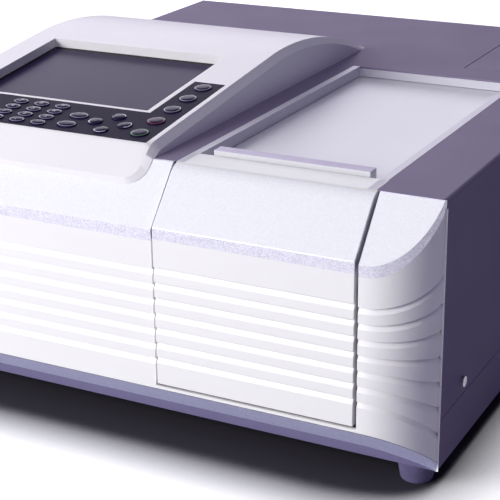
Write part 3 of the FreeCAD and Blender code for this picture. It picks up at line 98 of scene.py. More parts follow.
class Finish:
    """A surface finish: one Principled shader, and the nodes that vary it over the surface."""

    def __init__(self, name, colour, roughness, more=None):
        self.material = bpy.data.materials.new(name)
        self.material.use_nodes = True
        self.tree = self.material.node_tree
        self.shader = self.tree.nodes["Principled BSDF"]
        self.connect(self.shader, {"Base Color": colour, "Roughness": roughness, **(more or {})})
        self.place = self.add("ShaderNodeTexCoord", output="Object")

    def connect(self, node, inputs):
        for key, value in inputs.items():
            if isinstance(value, Wire):
                self.tree.links.new(value.socket, node.inputs[key])
            else:
                node.inputs[key].default_value = value

    def add(self, kind, settings=None, inputs=None, output=0):
        """Any node: its settings are made first, then its inputs, and one output is handed back."""
        node = self.tree.nodes.new(kind)
        for key, value in (settings or {}).items():
            setattr(node, key, value)
        self.connect(node, inputs or {})
        return Wire(self, node.outputs[output])

    def vary(self, **wires):
        """Feed the shader, such as Base_Color=wire."""
        self.connect(self.shader, {key.replace("_", " "): wire for key, wire in wires.items()})

    def grain(self, size, detail=2.0, stretch=(1, 1, 1)):
        """Noise from 0 to 1 with features of that size in millimetres."""
        spread = self.add("ShaderNodeMapping", None, {"Vector": self.place, "Scale": stretch})
        return self.add("ShaderNodeTexNoise", None, {
            "Vector": spread, "Scale": 1 / (size * MM), "Detail": detail})

    def flakes(self, size):
        """A random level from 0 to 1 for each flake of that size in millimetres."""
        colour = self.add("ShaderNodeTexVoronoi", None, {"Vector": self.place, "Scale": 1 / (size * MM)},
                          output="Color")
        return self.add("ShaderNodeSeparateColor", None, {"Color": colour})

    def mix(self, share, first, second):
        """A colour that goes from first to second with share."""
        return self.add("ShaderNodeMix", {"data_type": "RGBA"}, {0: share, 6: first, 7: second}, output=2)

    def bump(self, height, depth):
        """Raise the surface with height; depth is the full swing in millimetres."""
        self.vary(Normal=self.add("ShaderNodeBump", None, {"Height": height, "Distance": depth * MM}))


def powder_paint(name, colour, lighter, roughness=0.5):
    """Powder paint: a fine pebbled skin with a little lighter grain in it."""
    paint = Finish(name, colour, roughness, {"Specular IOR Level": 0.02})
    pebbles = paint.grain(0.9, 3.0)
    dust = paint.grain(45.0, 2.0)
    paint.vary(Base_Color=paint.mix(pebbles, colour, lighter))
    paint.vary(Roughness=roughness - 0.08 + 0.16 * dust)
    paint.bump(pebbles, 0.05)
    return paint


def eased(node, width=SHEET_EASE, flatness=0.4):
    """A copy of a CAD node's shape, in millimetres, with its sharp edges rounded by width.

    Faces that lie within flatness degrees of each other are joined first."""
    form = bmesh.new()
    form.from_mesh(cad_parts[node].data)
    bmesh.ops.scale(form, vec=(1 / MM,) * 3, verts=form.verts)
    bmesh.ops.remove_doubles(form, verts=form.verts, dist=0.002)
    bmesh.ops.dissolve_limit(form, angle_limit=math.radians(flatness), verts=form.verts, edges=form.edges)
    edges = [edge for edge in form.edges
             if len(edge.link_faces) == 2 and edge.calc_face_angle(0) > math.radians(EDGE_TURN)]
    if width:
        bmesh.ops.bevel(form, geom=edges, offset=width, affect="EDGES", segments=2, profile=0.5,
                        material=-1, clamp_overlap=True)
    return form


def add_piece(name, form, body, finishes, node):
    """Turn a shape in millimetres into a piece that rides on its body in place of a CAD node."""
    mesh = bpy.data.meshes.new(name)
    form.to_mesh(mesh)
    form.free()
    mesh.transform(Matrix.Scale(MM, 4))
    mesh.shade_smooth()
    mesh.set_sharp_from_angle(angle=math.radians(SHADED_TURN))
    for finish in finishes:
        mesh.materials.append(finish.material)
    piece = bpy.data.objects.new(name, mesh)
    bpy.context.scene.collection.objects.link(piece)
    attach(piece, body)
    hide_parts(node)
    return piece


def even_shading(piece):
    """Shade wide faces flat and leave the turn to the narrow ones between them."""
    finish = piece.modifiers.new("even_shading", "WEIGHTED_NORMAL")
    finish.keep_sharp = True


def add_eased(name, node, body, finish, width=SHEET_EASE):
    """Put a CAD node's shape with rounded edges, in one finish, in the node's place."""
    even_shading(add_piece(name, eased(node, width), body, [finish], node))


dark_paint = powder_paint("dark_powder_paint", rgb(134, 124, 150), rgb(146, 136, 162))
add_eased("base_pan_painted", "base_pan", "cabinet", dark_paint)

# Feet: four soft rubber buttons, a little wider at the top, pushed into the pan.
# They carry the instrument, and one shows below the right front corner.
FOOT_EASE = 1.2
rubber = Finish("foot_rubber", rgb(92, 86, 120), 0.7)
rubber.bump(rubber.grain(0.5, 2.0), 0.03)
rubber.vary(Base_Color=rubber.mix(rubber.grain(6.0), rgb(84, 78, 112), rgb(104, 98, 134)))
add_eased("feet_moulded", "rubber_feet", "cabinet", rubber, FOOT_EASE)

# Optical bench: an aluminium casting with a machined top, on posts from the pan.
# It holds the monochromator, the cell compartment and the lamps in line.
BENCH_EASE = 0.5
castings = Finish("cast_aluminium", rgb(176, 176, 180), 0.42, {"Metallic": 1.0})
castings.vary(Roughness=0.34 + 0.2 * castings.grain(14.0), Base_Color=castings.mix(
    castings.grain(3.0), rgb(165, 165, 170), rgb(190, 190, 194)))
castings.bump(castings.grain(0.8, 3.0), 0.04)
add_eased("bench_machined", "optical_bench", "cabinet", castings, BENCH_EASE)

# Monochromator: grating on its sine arm, drive nut on the lead screw, mirrors on stands.
# Brass and steel turn and slide; the stands are anodised black to keep stray light down.
brass = Finish("machined_brass", rgb(196, 158, 84), 0.3, {"Metallic": 1.0})
brass.vary(Roughness=0.24 + 0.14 * brass.grain(1.2, 2.0, (1, 8, 8)))
steel = Finish("zinc_plated_steel", rgb(168, 168, 174), 0.3, {"Metallic": 1.0})
steel.vary(Roughness=0.22 + 0.2 * steel.grain(5.0), Base_Color=steel.mix(
    steel.grain(9.0), rgb(160, 160, 164), rgb(184, 184, 192)))
anodised = Finish("black_anodised", rgb(26, 26, 29), 0.38, {"Metallic": 0.6})
anodised.vary(Roughness=0.34 + 0.14 * anodised.grain(4.0))
mirror_coat = Finish("mirror_coat", rgb(222, 222, 226), 0.05, {"Metallic": 1.0})
mirror_coat.vary(Roughness=0.03 + 0.06 * mirror_coat.grain(12.0))
motor_steel = Finish("blackened_motor_steel", rgb(70, 70, 76), 0.4, {"Metallic": 0.9})
motor_steel.vary(Roughness=0.34 + 0.16 * motor_steel.grain(2.0, 2.0, (1, 1, 10)))


def dress(finish, *nodes):
    """Give CAD nodes that keep their shape their finish."""
    for node in nodes:
        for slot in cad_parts[node].material_slots:
            slot.material = finish.material


dress(anodised, "grating_turntable", "mirror_stands", "filter_wheel", "cell_holders")
dress(brass, "drive_nut")
dress(steel, "lead_screw")
dress(motor_steel, "stepper_motors")
dress(mirror_coat, "lamp_mirror")

# Lamps: a deuterium lamp for the ultraviolet and a halogen lamp for visible light.
# Fused silica bulbs on ceramic bases, in a sheet metal house under the lamp cover.
lamp_glass = Finish("fused_silica", rgb(226, 228, 236), 0.08, {"Transmission Weight": 0.85, "IOR": 1.46})
lamp_glass.vary(Roughness=0.05 + 0.07 * lamp_glass.grain(7.0))
module_sheet = Finish("plated_sheet", rgb(150, 150, 154), 0.35, {"Metallic": 1.0})
module_sheet.vary(Roughness=0.28 + 0.2 * module_sheet.grain(11.0, 4.0))
dress(lamp_glass, "deuterium_lamp", "tungsten_lamp")
dress(module_sheet, "lamp_house", "power_supply")

# Cell compartment: a black box with beam windows, and two cell holders on its floor.
# Matt black paint swallows stray light; the detectors look in from the right.
matt_black = powder_paint("matt_black_paint", rgb(16, 16, 18), rgb(26, 26, 30), 0.65)
dress(matt_black, "compartment_tub")
dress(anodised, "detector_modules")

# Electronics: main board with the rear connectors, keypad board, display panel and fan.
# Green solder mask over copper, plated connector shells at the rear panel, black mouldings.
RUNS_PER_METRE = 190.0
RUN_WIDE = 0.12  # as a share of the distance between two copper runs
CONNECTOR_REACH = 14.0  # from the rear panel to the inner end of the connectors


def corners(node):
    """Lowest and highest corner of a CAD node, in millimetres."""
    low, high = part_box(node)
    return low / MM, high / MM


board_mask = Finish("solder_mask", rgb(24, 82, 50), 0.35)
board_cells = {"feature": "DISTANCE_TO_EDGE", "distance": "CHEBYCHEV"}
copper_runs = board_mask.add("ShaderNodeTexVoronoi", board_cells, {
    "Vector": board_mask.place, "Scale": RUNS_PER_METRE}) < RUN_WIDE
board_spot = board_mask.add("ShaderNodeSeparateXYZ", None, {"Vector": board_mask.place})
on_shell = board_spot.out("Y") > (corners("rear_panel")[0].y - CONNECTOR_REACH) * MM
board_colour = board_mask.mix(copper_runs, rgb(20, 74, 44), rgb(44, 112, 70))
board_mask.vary(Base_Color=board_mask.mix(on_shell, board_colour, rgb(178, 178, 184)),
                Metallic=on_shell * 0.9)
black_moulding = Finish("black_moulding", rgb(22, 22, 25), 0.45)
black_moulding.vary(Roughness=0.4 + 0.14 * black_moulding.grain(3.0))
black_moulding.bump(black_moulding.grain(0.6, 3.0), 0.02)
dress(board_mask, "main_board", "keypad_board")
dress(black_moulding, "fan_frame", "fan_rotor", "display_module")

# Cover, lamp cover and rear panel: steel sheet folded and powder painted like the pan.
# The cover is open at the front, where the moulding closes it, and hooks over the rear panel.
add_eased("top_cover_painted", "top_cover", "cabinet", dark_paint)
add_eased("lamp_cover_painted", "lamp_access_cover", "cabinet", dark_paint)
dress(dark_paint, "rear_panel")

# Inlet and switch: a flanged black module with a socket and a rocker, in the rear panel.
# Six pan head screws in bright zinc hold the cover to the pan.
MODULE_EASE = 0.5
add_eased("inlet_moulded", "power_inlet", "cabinet", black_moulding, MODULE_EASE)
rocker_gloss = Finish("rocker_gloss", rgb(26, 26, 28), 0.22)
rocker_gloss.vary(Roughness=0.18 + 0.1 * rocker_gloss.grain(5.0))
add_eased("rocker_moulded", "power_rocker", "rocker", rocker_gloss, MODULE_EASE)
dress(steel, "cover_screws")

# Lid well, lid and handle: pale painted rails with the flat lid between them, and a grip bar
# across its front, whose top is painted a darker lilac as shade. The lid slides to the rear under the
# cover.
LID_EASE = 0.5
HANDLE_EASE = 0.25
FACING_UP = 0.3  # least rise of a face's normal on the handle's top, painted a darker lilac as shade
light_paint = Finish("light_satin_paint", rgb(212, 211, 220), 0.42)
light_paint.vary(Base_Color=light_paint.mix(
    light_paint.grain(60.0), rgb(208, 207, 216), rgb(218, 217, 226)))
light_paint.bump(light_paint.grain(0.7, 2.0), 0.02)
lid_moulding = Finish("lid_moulding", rgb(229, 229, 235), 0.4)
lid_moulding.vary(Base_Color=lid_moulding.mix(
    lid_moulding.grain(80.0), rgb(226, 226, 232), rgb(233, 233, 238)))
lid_moulding.bump(lid_moulding.grain(0.6, 2.0), 0.02)
# The up-facing faces of the handle get a darker lilac: painted shade for its ribbed top.
handle_top_shade = Finish("handle_top_shade", rgb(198, 189, 214), 0.45)
handle_top_shade.bump(handle_top_shade.grain(0.5, 2.0), 0.02)
add_eased("well_painted", "compartment_frame", "cabinet", light_paint, LID_EASE)
add_eased("lid_moulded", "sliding_lid", "lid", lid_moulding, LID_EASE)
handle_form = eased("lid_handle", HANDLE_EASE)
# up-facing faces take the painted shade
for face in handle_form.faces:
    face.material_index = 1 if face.normal.z > FACING_UP else 0
handle = add_piece("handle_moulded", handle_form, "lid",
                   [lid_moulding, handle_top_shade], "lid_handle")
even_shading(handle)

# Front moulding: one plastic shell with round corners and seven grooves that fan out round them.
# Pearl lacquer covers its slope, the band below that and the wall; a thin bead closes both ends.
cover_low, cover_high = corners("top_cover")
panel_low, panel_high = corners("compartment_front_panel")
FRONT = cover_low.y
FLOOR = corners("base_pan")[0].z
SIDE = cover_high.x
ROOF_UP = cover_high.z - FLOOR
BULGE = 36.4  # how far the flat stands before the cover
CORNER_RADIUS = 42.5
CORNER_RUN = 42.06  # side to side run of a corner
CORNER_STEPS = 22
SLOPE_START = 2.5  # from the cover's edge forward to the top of the slope
SLOPE_RISE = 1.16
BAND_DEEP = 8.5
GROOVES = 7
GROOVE_TOP_UP = 129.0  # first groove above the pan
GROOVE_PITCH = 11.45
GROOVE_DEPTH = 2.0
GROOVE_HIGH = 4.4
GROOVE_STEP = 0.35  # height of a groove's upper step
GROOVE_ROWS = 3  # lines of a groove: its crest, its bottom and its foot
GROOVE_FADE = 0.12  # share of the depth that is gone at the end of a corner
GROOVE_CLOSE = 0.4  # share of the height that is gone there
FAN_FIRST = 0.48  # rise of the first groove for each millimetre that a corner runs back
FAN_STEP = 0.22  # how much less each next groove rises
LEDGE_UP = 39.0  # foot of the opening for the compartment panel
UNDER_UP = 36.6  # lower edge
UNDER_RISE = 0.82  # fall of the lower edge round the corner
COVER_SEAM = 0.3
MOULDING_WALL = 2.6
MOULDING_EASE = 0.5
MOULDED_TURN = 22  # degrees from which a moulding's edge is rounded
PANEL_GAP = 2.0
BEAD_WIDE = 0.9
BEAD_FORWARD = 0.5


def at_front(x, forward, up):
    """A point by its distance before the cover's front edge and above the pan."""
    return Vector((x, FRONT - forward, FLOOR + up))


def grooved_rows(bulge, lift, slope_edge):
    """The upright face from the slope's edge down to the last groove: forward, up, corner rise."""
    rows = [(bulge, slope_edge, SLOPE_RISE), (bulge, slope_edge - BAND_DEEP, SLOPE_RISE)]
    for number in range(GROOVES):
        top = GROOVE_TOP_UP + lift - number * GROOVE_PITCH
        fan = FAN_FIRST - number * FAN_STEP
        rows.append((bulge, top, fan))
        rows.append((bulge - GROOVE_DEPTH, top - GROOVE_STEP, fan))
        rows.append((bulge, top - GROOVE_HIGH, fan - FAN_STEP * GROOVE_HIGH / GROOVE_PITCH))
    return rows


def strand(form, points):
    """A chain of edges through the points."""
    dots = [form.verts.new(point) for point in points]
    return [form.edges.new(pair) for pair in zip(dots, dots[1:])]


def drawn_out(form, edges, place):
    """Extrude edges and put each new vertex where place says, given the old one's position."""
    made = bmesh.ops.extrude_edge_only(form, edges=edges)["geom"]
    fresh = [item for item in made if isinstance(item, bmesh.types.BMVert)]
    for vert in fresh:
        vert.co = place(vert.co.copy())
    return [edge for edge in made if isinstance(edge, bmesh.types.BMEdge)
            and all(vert in fresh for vert in edge.verts)]


def face_outwards(form, direction):
    """Point a shell's faces away from its inside: the face furthest along direction shows how."""
    bmesh.ops.recalc_face_normals(form, faces=form.faces)
    outermost = max(form.faces, key=lambda face: face.calc_center_median().dot(direction))
    if outermost.normal.dot(direction) < 0:
        bmesh.ops.reverse_faces(form, faces=form.faces)


def build_fascia():
    """The front moulding, swept along the flat and round both corners."""
    form = bmesh.new()
    slope_edge = ROOF_UP - SLOPE_RISE * (BULGE - SLOPE_START)
    rows = grooved_rows(BULGE, 0.0, slope_edge)
    rows += [(BULGE, LEDGE_UP, -UNDER_RISE), (BULGE, UNDER_UP, -UNDER_RISE)]
    fan_at = {round(up, 3): fan for forward, up, fan in rows}
    crest_of = {}
    for number in range(GROOVES):
        first = 2 + GROOVE_ROWS * number
        crest, deep, foot = [round(up, 3) for forward, up, fan in rows[first:first + GROOVE_ROWS]]
        crest_of[deep] = crest_of[foot] = crest
    corner_x = SIDE - CORNER_RUN
    sweep = math.asin(CORNER_RUN / CORNER_RADIUS)
    centre_y = FRONT - BULGE + CORNER_RADIUS
    line = strand(form, [at_front(corner_x, forward, up) for forward, up, fan in rows])
    right_line = line
    for x in (panel_high.x + PANEL_GAP, panel_low.x - PANEL_GAP, -corner_x):
        line = drawn_out(form, line, lambda spot, x=x: Vector((x, spot.y, spot.z)))
    for edges, side in ((right_line, 1), (line, -1)):
        dots = list({vert for edge in edges for vert in edge.verts})
        bmesh.ops.spin(form, geom=edges + dots, cent=(side * corner_x, centre_y, 0), axis=(0, 0, 1),
                       angle=side * sweep, steps=CORNER_STEPS, use_merge=False, use_duplicate=False)
    bmesh.ops.remove_doubles(form, verts=form.verts, dist=0.01)
    top_verts = set()
    for vert in form.verts:
        up = round(vert.co.z - FLOOR, 3)
        turn = math.atan2(max(abs(vert.co.x) - corner_x, 0), centre_y - vert.co.y)
        if up in crest_of:
            share = (turn / sweep) ** 2
            outward = Vector((math.copysign(math.sin(turn), vert.co.x), -math.cos(turn), 0))
            if crest_of[up] - up < 2 * GROOVE_STEP:
                vert.co += outward * GROOVE_DEPTH * GROOVE_FADE * share
            vert.co.z += (crest_of[up] - up) * GROOVE_CLOSE * share
        vert.co.z += fan_at[up] * CORNER_RADIUS * (1 - math.cos(turn))
        vert.co.z = min(vert.co.z, FLOOR + ROOF_UP)
        if up == round(slope_edge, 3):
            top_verts.add(vert)
    top_edges = [edge for edge in form.edges if all(vert in top_verts for vert in edge.verts)]
    top_edges = drawn_out(form, top_edges, lambda spot: Vector(
        (spot.x, max(spot.y, FRONT - SLOPE_START), FLOOR + ROOF_UP)))
    drawn_out(form, top_edges, lambda spot: Vector((spot.x, max(spot.y, FRONT - COVER_SEAM), spot.z)))

    inside = [face for face in form.faces
              if panel_low.x - PANEL_GAP < face.calc_center_median().x < panel_high.x + PANEL_GAP
              and face.calc_center_median().z > FLOOR + LEDGE_UP]
    bmesh.ops.delete(form, geom=inside, context="FACES")
    bmesh.ops.remove_doubles(form, verts=form.verts, dist=0.02)
    bmesh.ops.dissolve_degenerate(form, edges=form.edges, dist=0.01)

    def at_end(vert):
        below_top = vert.co.z < FLOOR + ROOF_UP - 0.1
        return below_top and vert.co.y > FRONT - 1 and abs(vert.co.x) > SIDE - GROOVE_DEPTH

    ends = [edge for edge in form.edges if edge.is_boundary and all(at_end(vert) for vert in edge.verts)]
    lowest = min(vert.co.z for edge in ends for vert in edge.verts)

    def onto_bead(spot):
        up = FLOOR if spot.z < lowest + 0.01 else spot.z
        return Vector((math.copysign(SIDE + BEAD_WIDE, spot.x), FRONT - BEAD_FORWARD, up))

    ends = drawn_out(form, ends, onto_bead)
    drawn_out(form, ends, lambda spot: Vector((spot.x, FRONT + BEAD_FORWARD, spot.z)))
    face_outwards(form, Vector((0, -1, 0.2)))
    return form


SPRAY_EDGE = 0.2  # from the slope's lower edge down to the band
ZONE_MARGIN = 3.0  # clear of the edges that part the deck, the slope and the wall


def lacquer(name, slope_start, slope_rise, has_deck=False):
    """Pearl lacquer in zones that follow the form: deck, slope, band below it, and wall."""
    finish = Finish(name, rgb(244, 244, 248), 0.4, {"Coat Weight": 0.15, "Coat Roughness": 0.25})
    spot = finish.add("ShaderNodeSeparateXYZ", None, {"Vector": finish.place})
    forward = FRONT - spot.out("Y") * (1 / MM)
    up = spot.out("Z") * (1 / MM) - FLOOR
    below_slope = (ROOF_UP + slope_rise * slope_start) - slope_rise * forward - up
    fine = finish.flakes(0.55)
    coarse = finish.flakes(0.8)
    slope_colour = finish.mix(fine, rgb(238, 240, 247), rgb(250, 250, 253))
    band_colour = finish.mix(coarse, rgb(192, 190, 208), rgb(226, 225, 233))
    wall_colour = finish.mix(finish.grain(40.0), rgb(249, 248, 247), rgb(252, 251, 250))
    on_band = (below_slope > SPRAY_EDGE) * (below_slope < BAND_DEEP)
    on_wall = below_slope > BAND_DEEP
    if has_deck:
        on_band = on_band * (forward > BULGE - ZONE_MARGIN)
        on_wall = on_wall * (forward > BULGE - ZONE_MARGIN)
    colour = finish.mix(on_band, slope_colour, band_colour)
    colour = finish.mix(on_wall, colour, wall_colour)
    if has_deck:
        colour = finish.mix(forward < slope_start - ZONE_MARGIN, colour, rgb(228, 230, 226))
    finish.vary(Base_Color=colour, Roughness=0.34 + 0.12 * fine, Metallic=on_band * 0.5)
    return finish


def give_wall(piece, thickness):
    """Give an open shell its wall, on the inside."""
    wall = piece.modifiers.new("moulding_wall", "SOLIDIFY")
    wall.thickness = thickness * MM
    wall.offset = -1.0


def round_edges(piece, width, segments=2):
    """Round a moulding's edges and keep its wide faces flat in the shading."""
    ease = piece.modifiers.new("moulded_edges", "BEVEL")
    ease.width = width * MM
    ease.segments = segments
    ease.limit_method = "ANGLE"
    ease.angle_limit = math.radians(MOULDED_TURN)
    even_shading(piece)


fascia_lacquer = lacquer("front_lacquer", SLOPE_START, SLOPE_RISE)
fascia = add_piece("front_moulded", build_fascia(), "cabinet", [fascia_lacquer],
                   "front_fascia")
give_wall(fascia, MOULDING_WALL)
round_edges(fascia, MOULDING_EASE)

# Skirt: one trim below the moulding, bowed like it. Its upper face, which turns in, is sprayed
# silver, and its lower face purple; the two meet in a curved edge.
skirt_low, skirt_high = corners("lower_skirt")
SKIRT_BULGE = 16.0  # the curved edge before the cover, at its flat
SKIRT_UP = 16.5  # the curved edge above the pan's underside
PURPLE_OUT = Vector((0, -SKIRT_UP, -SKIRT_BULGE)).normalized()
PLANE_NEAR = 0.06  # how far a corner of the purple face may lie from its plane
PLANE_SQUARE = 0.999998  # least cosine between that face and its plane
JOINED_TURN = 0.04  # degrees between faces that are joined, less than those of the ruled face


def build_skirt():
    """A copy of the trim whose flat lower face is told from the ruled face above it."""
    form = eased("lower_skirt", 0, JOINED_TURN)
    hem = Vector((0, skirt_high.y, skirt_low.z))
    for face in form.faces:
        in_plane = all(abs((vert.co - hem).dot(PURPLE_OUT)) < PLANE_NEAR for vert in face.verts)
        face.material_index = 1 if in_plane and face.normal.dot(PURPLE_OUT) > PLANE_SQUARE else 0
    return form


silver_lacquer = Finish("silver_lacquer", rgb(178, 178, 218), 0.38, {"Metallic": 0.25})
silver_lacquer.vary(Base_Color=silver_lacquer.mix(
    silver_lacquer.flakes(0.7), rgb(180, 180, 218), rgb(212, 214, 240)))
skirt_lacquer = Finish("skirt_lacquer", rgb(146, 137, 182), 0.5)
skirt_lacquer.vary(Base_Color=skirt_lacquer.mix(
    skirt_lacquer.flakes(0.6), rgb(138, 130, 174), rgb(154, 146, 190)))
even_shading(add_piece("skirt_painted", build_skirt(), "cabinet",
                       [silver_lacquer, skirt_lacquer], "lower_skirt"))

# Compartment panel: a separate moulding that lifts out, with the same slope, band and grooves,
# a crowned top edge and a flat deck before the lid.
PANEL_SLOPE_START = 5.4
PANEL_SLOPE_RISE = 1.139
PANEL_PROUD = 1.6  # how far it stands before the moulding
PANEL_LIFT = 2.2  # its grooves above those of the moulding
CROWN_RUN = 6.0  # half the length of the curve between the deck and the slope
CROWN_STEPS = 6
PANEL_THICK = 9.0
DECK_THICK = 8.0
INNER_DROP = 5.0  # inner edge of the wall below the slope's edge
INNER_BACK = 4.0  # inner edge of the deck behind the top of the slope


def build_panel():
    """The panel: its side outline, closed behind, drawn from the left edge to the right."""
    form = bmesh.new()
    bulge = BULGE + PANEL_PROUD
    deck_up = panel_high.z - FLOOR
    slope_edge = deck_up - PANEL_SLOPE_RISE * (bulge - PANEL_SLOPE_START)
    deck_back = FRONT - panel_high.y
    outline = [(deck_back, deck_up)]
    for step in range(CROWN_STEPS + 1):
        share = step / CROWN_STEPS
        run = CROWN_RUN * (2 * share - 1)
        fall = PANEL_SLOPE_RISE * CROWN_RUN * share * share
        outline.append((PANEL_SLOPE_START + run, deck_up - fall))
    outline += [(forward, up) for forward, up, fan in grooved_rows(bulge, PANEL_LIFT, slope_edge)]
    bottom_up = panel_low.z - FLOOR
    inside = bulge - PANEL_THICK
    under_deck = deck_up - DECK_THICK
    outline += [(bulge, bottom_up), (inside, bottom_up), (inside, slope_edge - INNER_DROP),
                (PANEL_SLOPE_START - INNER_BACK, under_deck), (deck_back, under_deck)]
    dots = [form.verts.new(at_front(panel_low.x, forward, up)) for forward, up in outline]
    side = form.faces.new(dots)
    made = bmesh.ops.extrude_face_region(form, geom=[side])["geom"]
    bmesh.ops.translate(form, vec=(panel_high.x - panel_low.x, 0, 0),
                        verts=[item for item in made if isinstance(item, bmesh.types.BMVert)])
    bmesh.ops.recalc_face_normals(form, faces=form.faces)
    return form


panel_lacquer = lacquer("panel_lacquer", PANEL_SLOPE_START, PANEL_SLOPE_RISE, has_deck=True)
panel = add_piece("compartment_panel_moulded", build_panel(), "front_panel",
                  [panel_lacquer], "compartment_front_panel")
round_edges(panel, MOULDING_EASE)

# Console: a grained moulding whose tilted face holds the display and the keypad. Its front runs
# down to a lip over the slope, its edges are bevelled, and behind the crest it falls away.
console_low, console_high = corners("console_housing")
BEVEL_SIDE = 5.5  # width and drop of the bevel along the sides
BEVEL_DROP = 4.6  # drop of the bevel across the front
CONSOLE_CORNER = 11.0  # front corners seen from above
CORNER_FACES = 10
CONSOLE_REAR_CORNER = 5.0
REAR_CORNER_FACES = 5
LIP_FORWARD = 17.0  # lip before the cover
LIP_UP = 186.2
SLAB_BACK = 3.0  # foot of the display face behind the cover's edge
SLAB_UP = 206.6
SLAB_TILT = math.radians(6.7)
OVERLAY_ALONG = (1.4, 53.3)  # the overlay's lower part, up the display face
OVERLAY_SEAM = 0.2
SLAB_SOFT = (OVERLAY_ALONG[0] - OVERLAY_SEAM) * math.cos(SLAB_TILT)  # crease below the overlay
EDGE_SOFT = 8.0  # the same crease beside the overlay
SOFT_STEPS = 8
CREST_BACK = 206.0  # end of the display face
HUMP_BACK = 296.0  # a point on the hump
HUMP_UP = 225.0
TAIL_BACK = 383.0  # where the hump meets the cover
HUMP_STEPS = 16
CONSOLE_WALL = 2.5
CONSOLE_EASE = 0.7
LIP_CLEAR = 0.7  # lip above the slope
CUT_NEAR = 0.01  # how far a vertex may lie from a cut and still be on it
FACE_NEAR = 0.05  # the same for the plane of the display face
WINDOW_NEAR = 0.1  # and for the outline of the display opening
display_low, display_high = corners("display_window")
overlay_low, overlay_high = corners("keypad_overlay")
SLAB_ALONG = Vector((0, math.cos(SLAB_TILT), math.sin(SLAB_TILT)))
SLAB_OUT = Vector((0, -math.sin(SLAB_TILT), math.cos(SLAB_TILT)))
slab_origin = at_front(0, -SLAB_BACK, SLAB_UP)


def on_slab(x, along, out):
    """A point on the display face: across, up the face, and out of it."""
    return slab_origin + Vector((x, 0, 0)) + along * SLAB_ALONG + out * SLAB_OUT


def up_the_face(point):
    """How far a point lies up the display face."""
    return (point - slab_origin).dot(SLAB_ALONG)


def off_the_face(point):
    """How far a point lies from the plane of the display face."""
    return abs((point - slab_origin).dot(SLAB_OUT))


def console_up(back, soft):
    """Height of the console's top above the pan, at a distance behind the cover's front edge.

    The apron before the display face turns into it over twice the distance soft."""
    apron_rise = (SLAB_UP - LIP_UP) / (SLAB_BACK + LIP_FORWARD)
    slab_rise = math.tan(SLAB_TILT)
    ahead = back - SLAB_BACK
    if back > CREST_BACK:
        crest_up = SLAB_UP + (CREST_BACK - SLAB_BACK) * slab_rise
        first = (HUMP_UP - crest_up) / (HUMP_BACK - CREST_BACK)
        second = (ROOF_UP - HUMP_UP) / (TAIL_BACK - HUMP_BACK)
        bend = (second - first) / (TAIL_BACK - CREST_BACK)
        return crest_up + first * (back - CREST_BACK) + bend * (back - CREST_BACK) * (back - HUMP_BACK)
    if abs(ahead) < soft:
        return SLAB_UP + apron_rise * ahead + (slab_rise - apron_rise) * (ahead + soft) ** 2 / (4 * soft)
    return SLAB_UP + ahead * (apron_rise if ahead < 0 else slab_rise)


DISPLAY_HIDDEN = 6.0  # margin of the glass behind the console
window_x = (display_low.x + DISPLAY_HIDDEN, display_high.x - DISPLAY_HIDDEN)
DISPLAY_ALONG = (56.6, 181.8)
OVERLAY_ARM_X = -20.4  # left edge of the overlay's arm beside the display
OVERLAY_ARM_END = 122.8
OVERLAY_DEEP = 2.0


def slice_at(form, point, direction):
    """Cut a form along a plane and keep both sides."""
    bmesh.ops.bisect_plane(form, geom=form.verts[:] + form.edges[:] + form.faces[:], dist=0.001,
                           plane_co=point, plane_no=direction)


def console_seen(form):
    """The console's upper skin with its display opening and the pocket of the overlay."""
    left = console_low.x + BEVEL_SIDE
    right = console_high.x - BEVEL_SIDE
    dots = [form.verts.new(at_front(x, forward, 0)) for x, forward in (
        (left, LIP_FORWARD), (right, LIP_FORWARD), (right, -TAIL_BACK), (left, -TAIL_BACK))]
    form.faces.new(dots)
    bmesh.ops.bevel(form, geom=dots[:2], offset=CONSOLE_CORNER, affect="VERTICES", segments=CORNER_FACES,
                    profile=0.5, material=-1)
    rear_dots = [vert for vert in form.verts if vert.co.y > FRONT + TAIL_BACK - 1]
    bmesh.ops.bevel(form, geom=rear_dots, offset=CONSOLE_REAR_CORNER, affect="VERTICES",
                    segments=REAR_CORNER_FACES, profile=0.5, material=-1)
    cuts = [SLAB_BACK + soft * (2 * step / SOFT_STEPS - 1)
            for soft in (SLAB_SOFT, EDGE_SOFT) for step in range(SOFT_STEPS + 1)]
    cuts += [CREST_BACK + (TAIL_BACK - CREST_BACK) * step / HUMP_STEPS for step in range(HUMP_STEPS)]
    for back in cuts:
        slice_at(form, at_front(0, -back, 0), (0, 1, 0))
    overlay_x = (overlay_low.x - OVERLAY_SEAM, overlay_high.x + OVERLAY_SEAM)
    for x in (*window_x, *overlay_x, OVERLAY_ARM_X - OVERLAY_SEAM):
        slice_at(form, (x, 0, 0), (1, 0, 0))
    for vert in form.verts:
        on_margin = not overlay_x[0] - CUT_NEAR <= vert.co.x <= overlay_x[1] + CUT_NEAR
        vert.co.z = FLOOR + console_up(vert.co.y - FRONT, EDGE_SOFT if on_margin else SLAB_SOFT)
    overlay_v = (OVERLAY_ALONG[0] - OVERLAY_SEAM, OVERLAY_ALONG[1] + OVERLAY_SEAM)
    arm_end = OVERLAY_ARM_END + OVERLAY_SEAM
    for along in (*DISPLAY_ALONG, *overlay_v, arm_end):
        slice_at(form, on_slab(0, along, 0), SLAB_ALONG)

    def in_window(face):
        middle = face.calc_center_median()
        return (window_x[0] < middle.x < window_x[1]
                and DISPLAY_ALONG[0] < up_the_face(middle) < DISPLAY_ALONG[1])

    def in_pocket(face):
        middle = face.calc_center_median()
        along = up_the_face(middle)
        lower = overlay_x[0] < middle.x < overlay_x[1] and overlay_v[0] < along < overlay_v[1]
        arm = OVERLAY_ARM_X - OVERLAY_SEAM < middle.x < overlay_x[1] and overlay_v[0] < along < arm_end
        return lower or arm

    return in_window, in_pocket


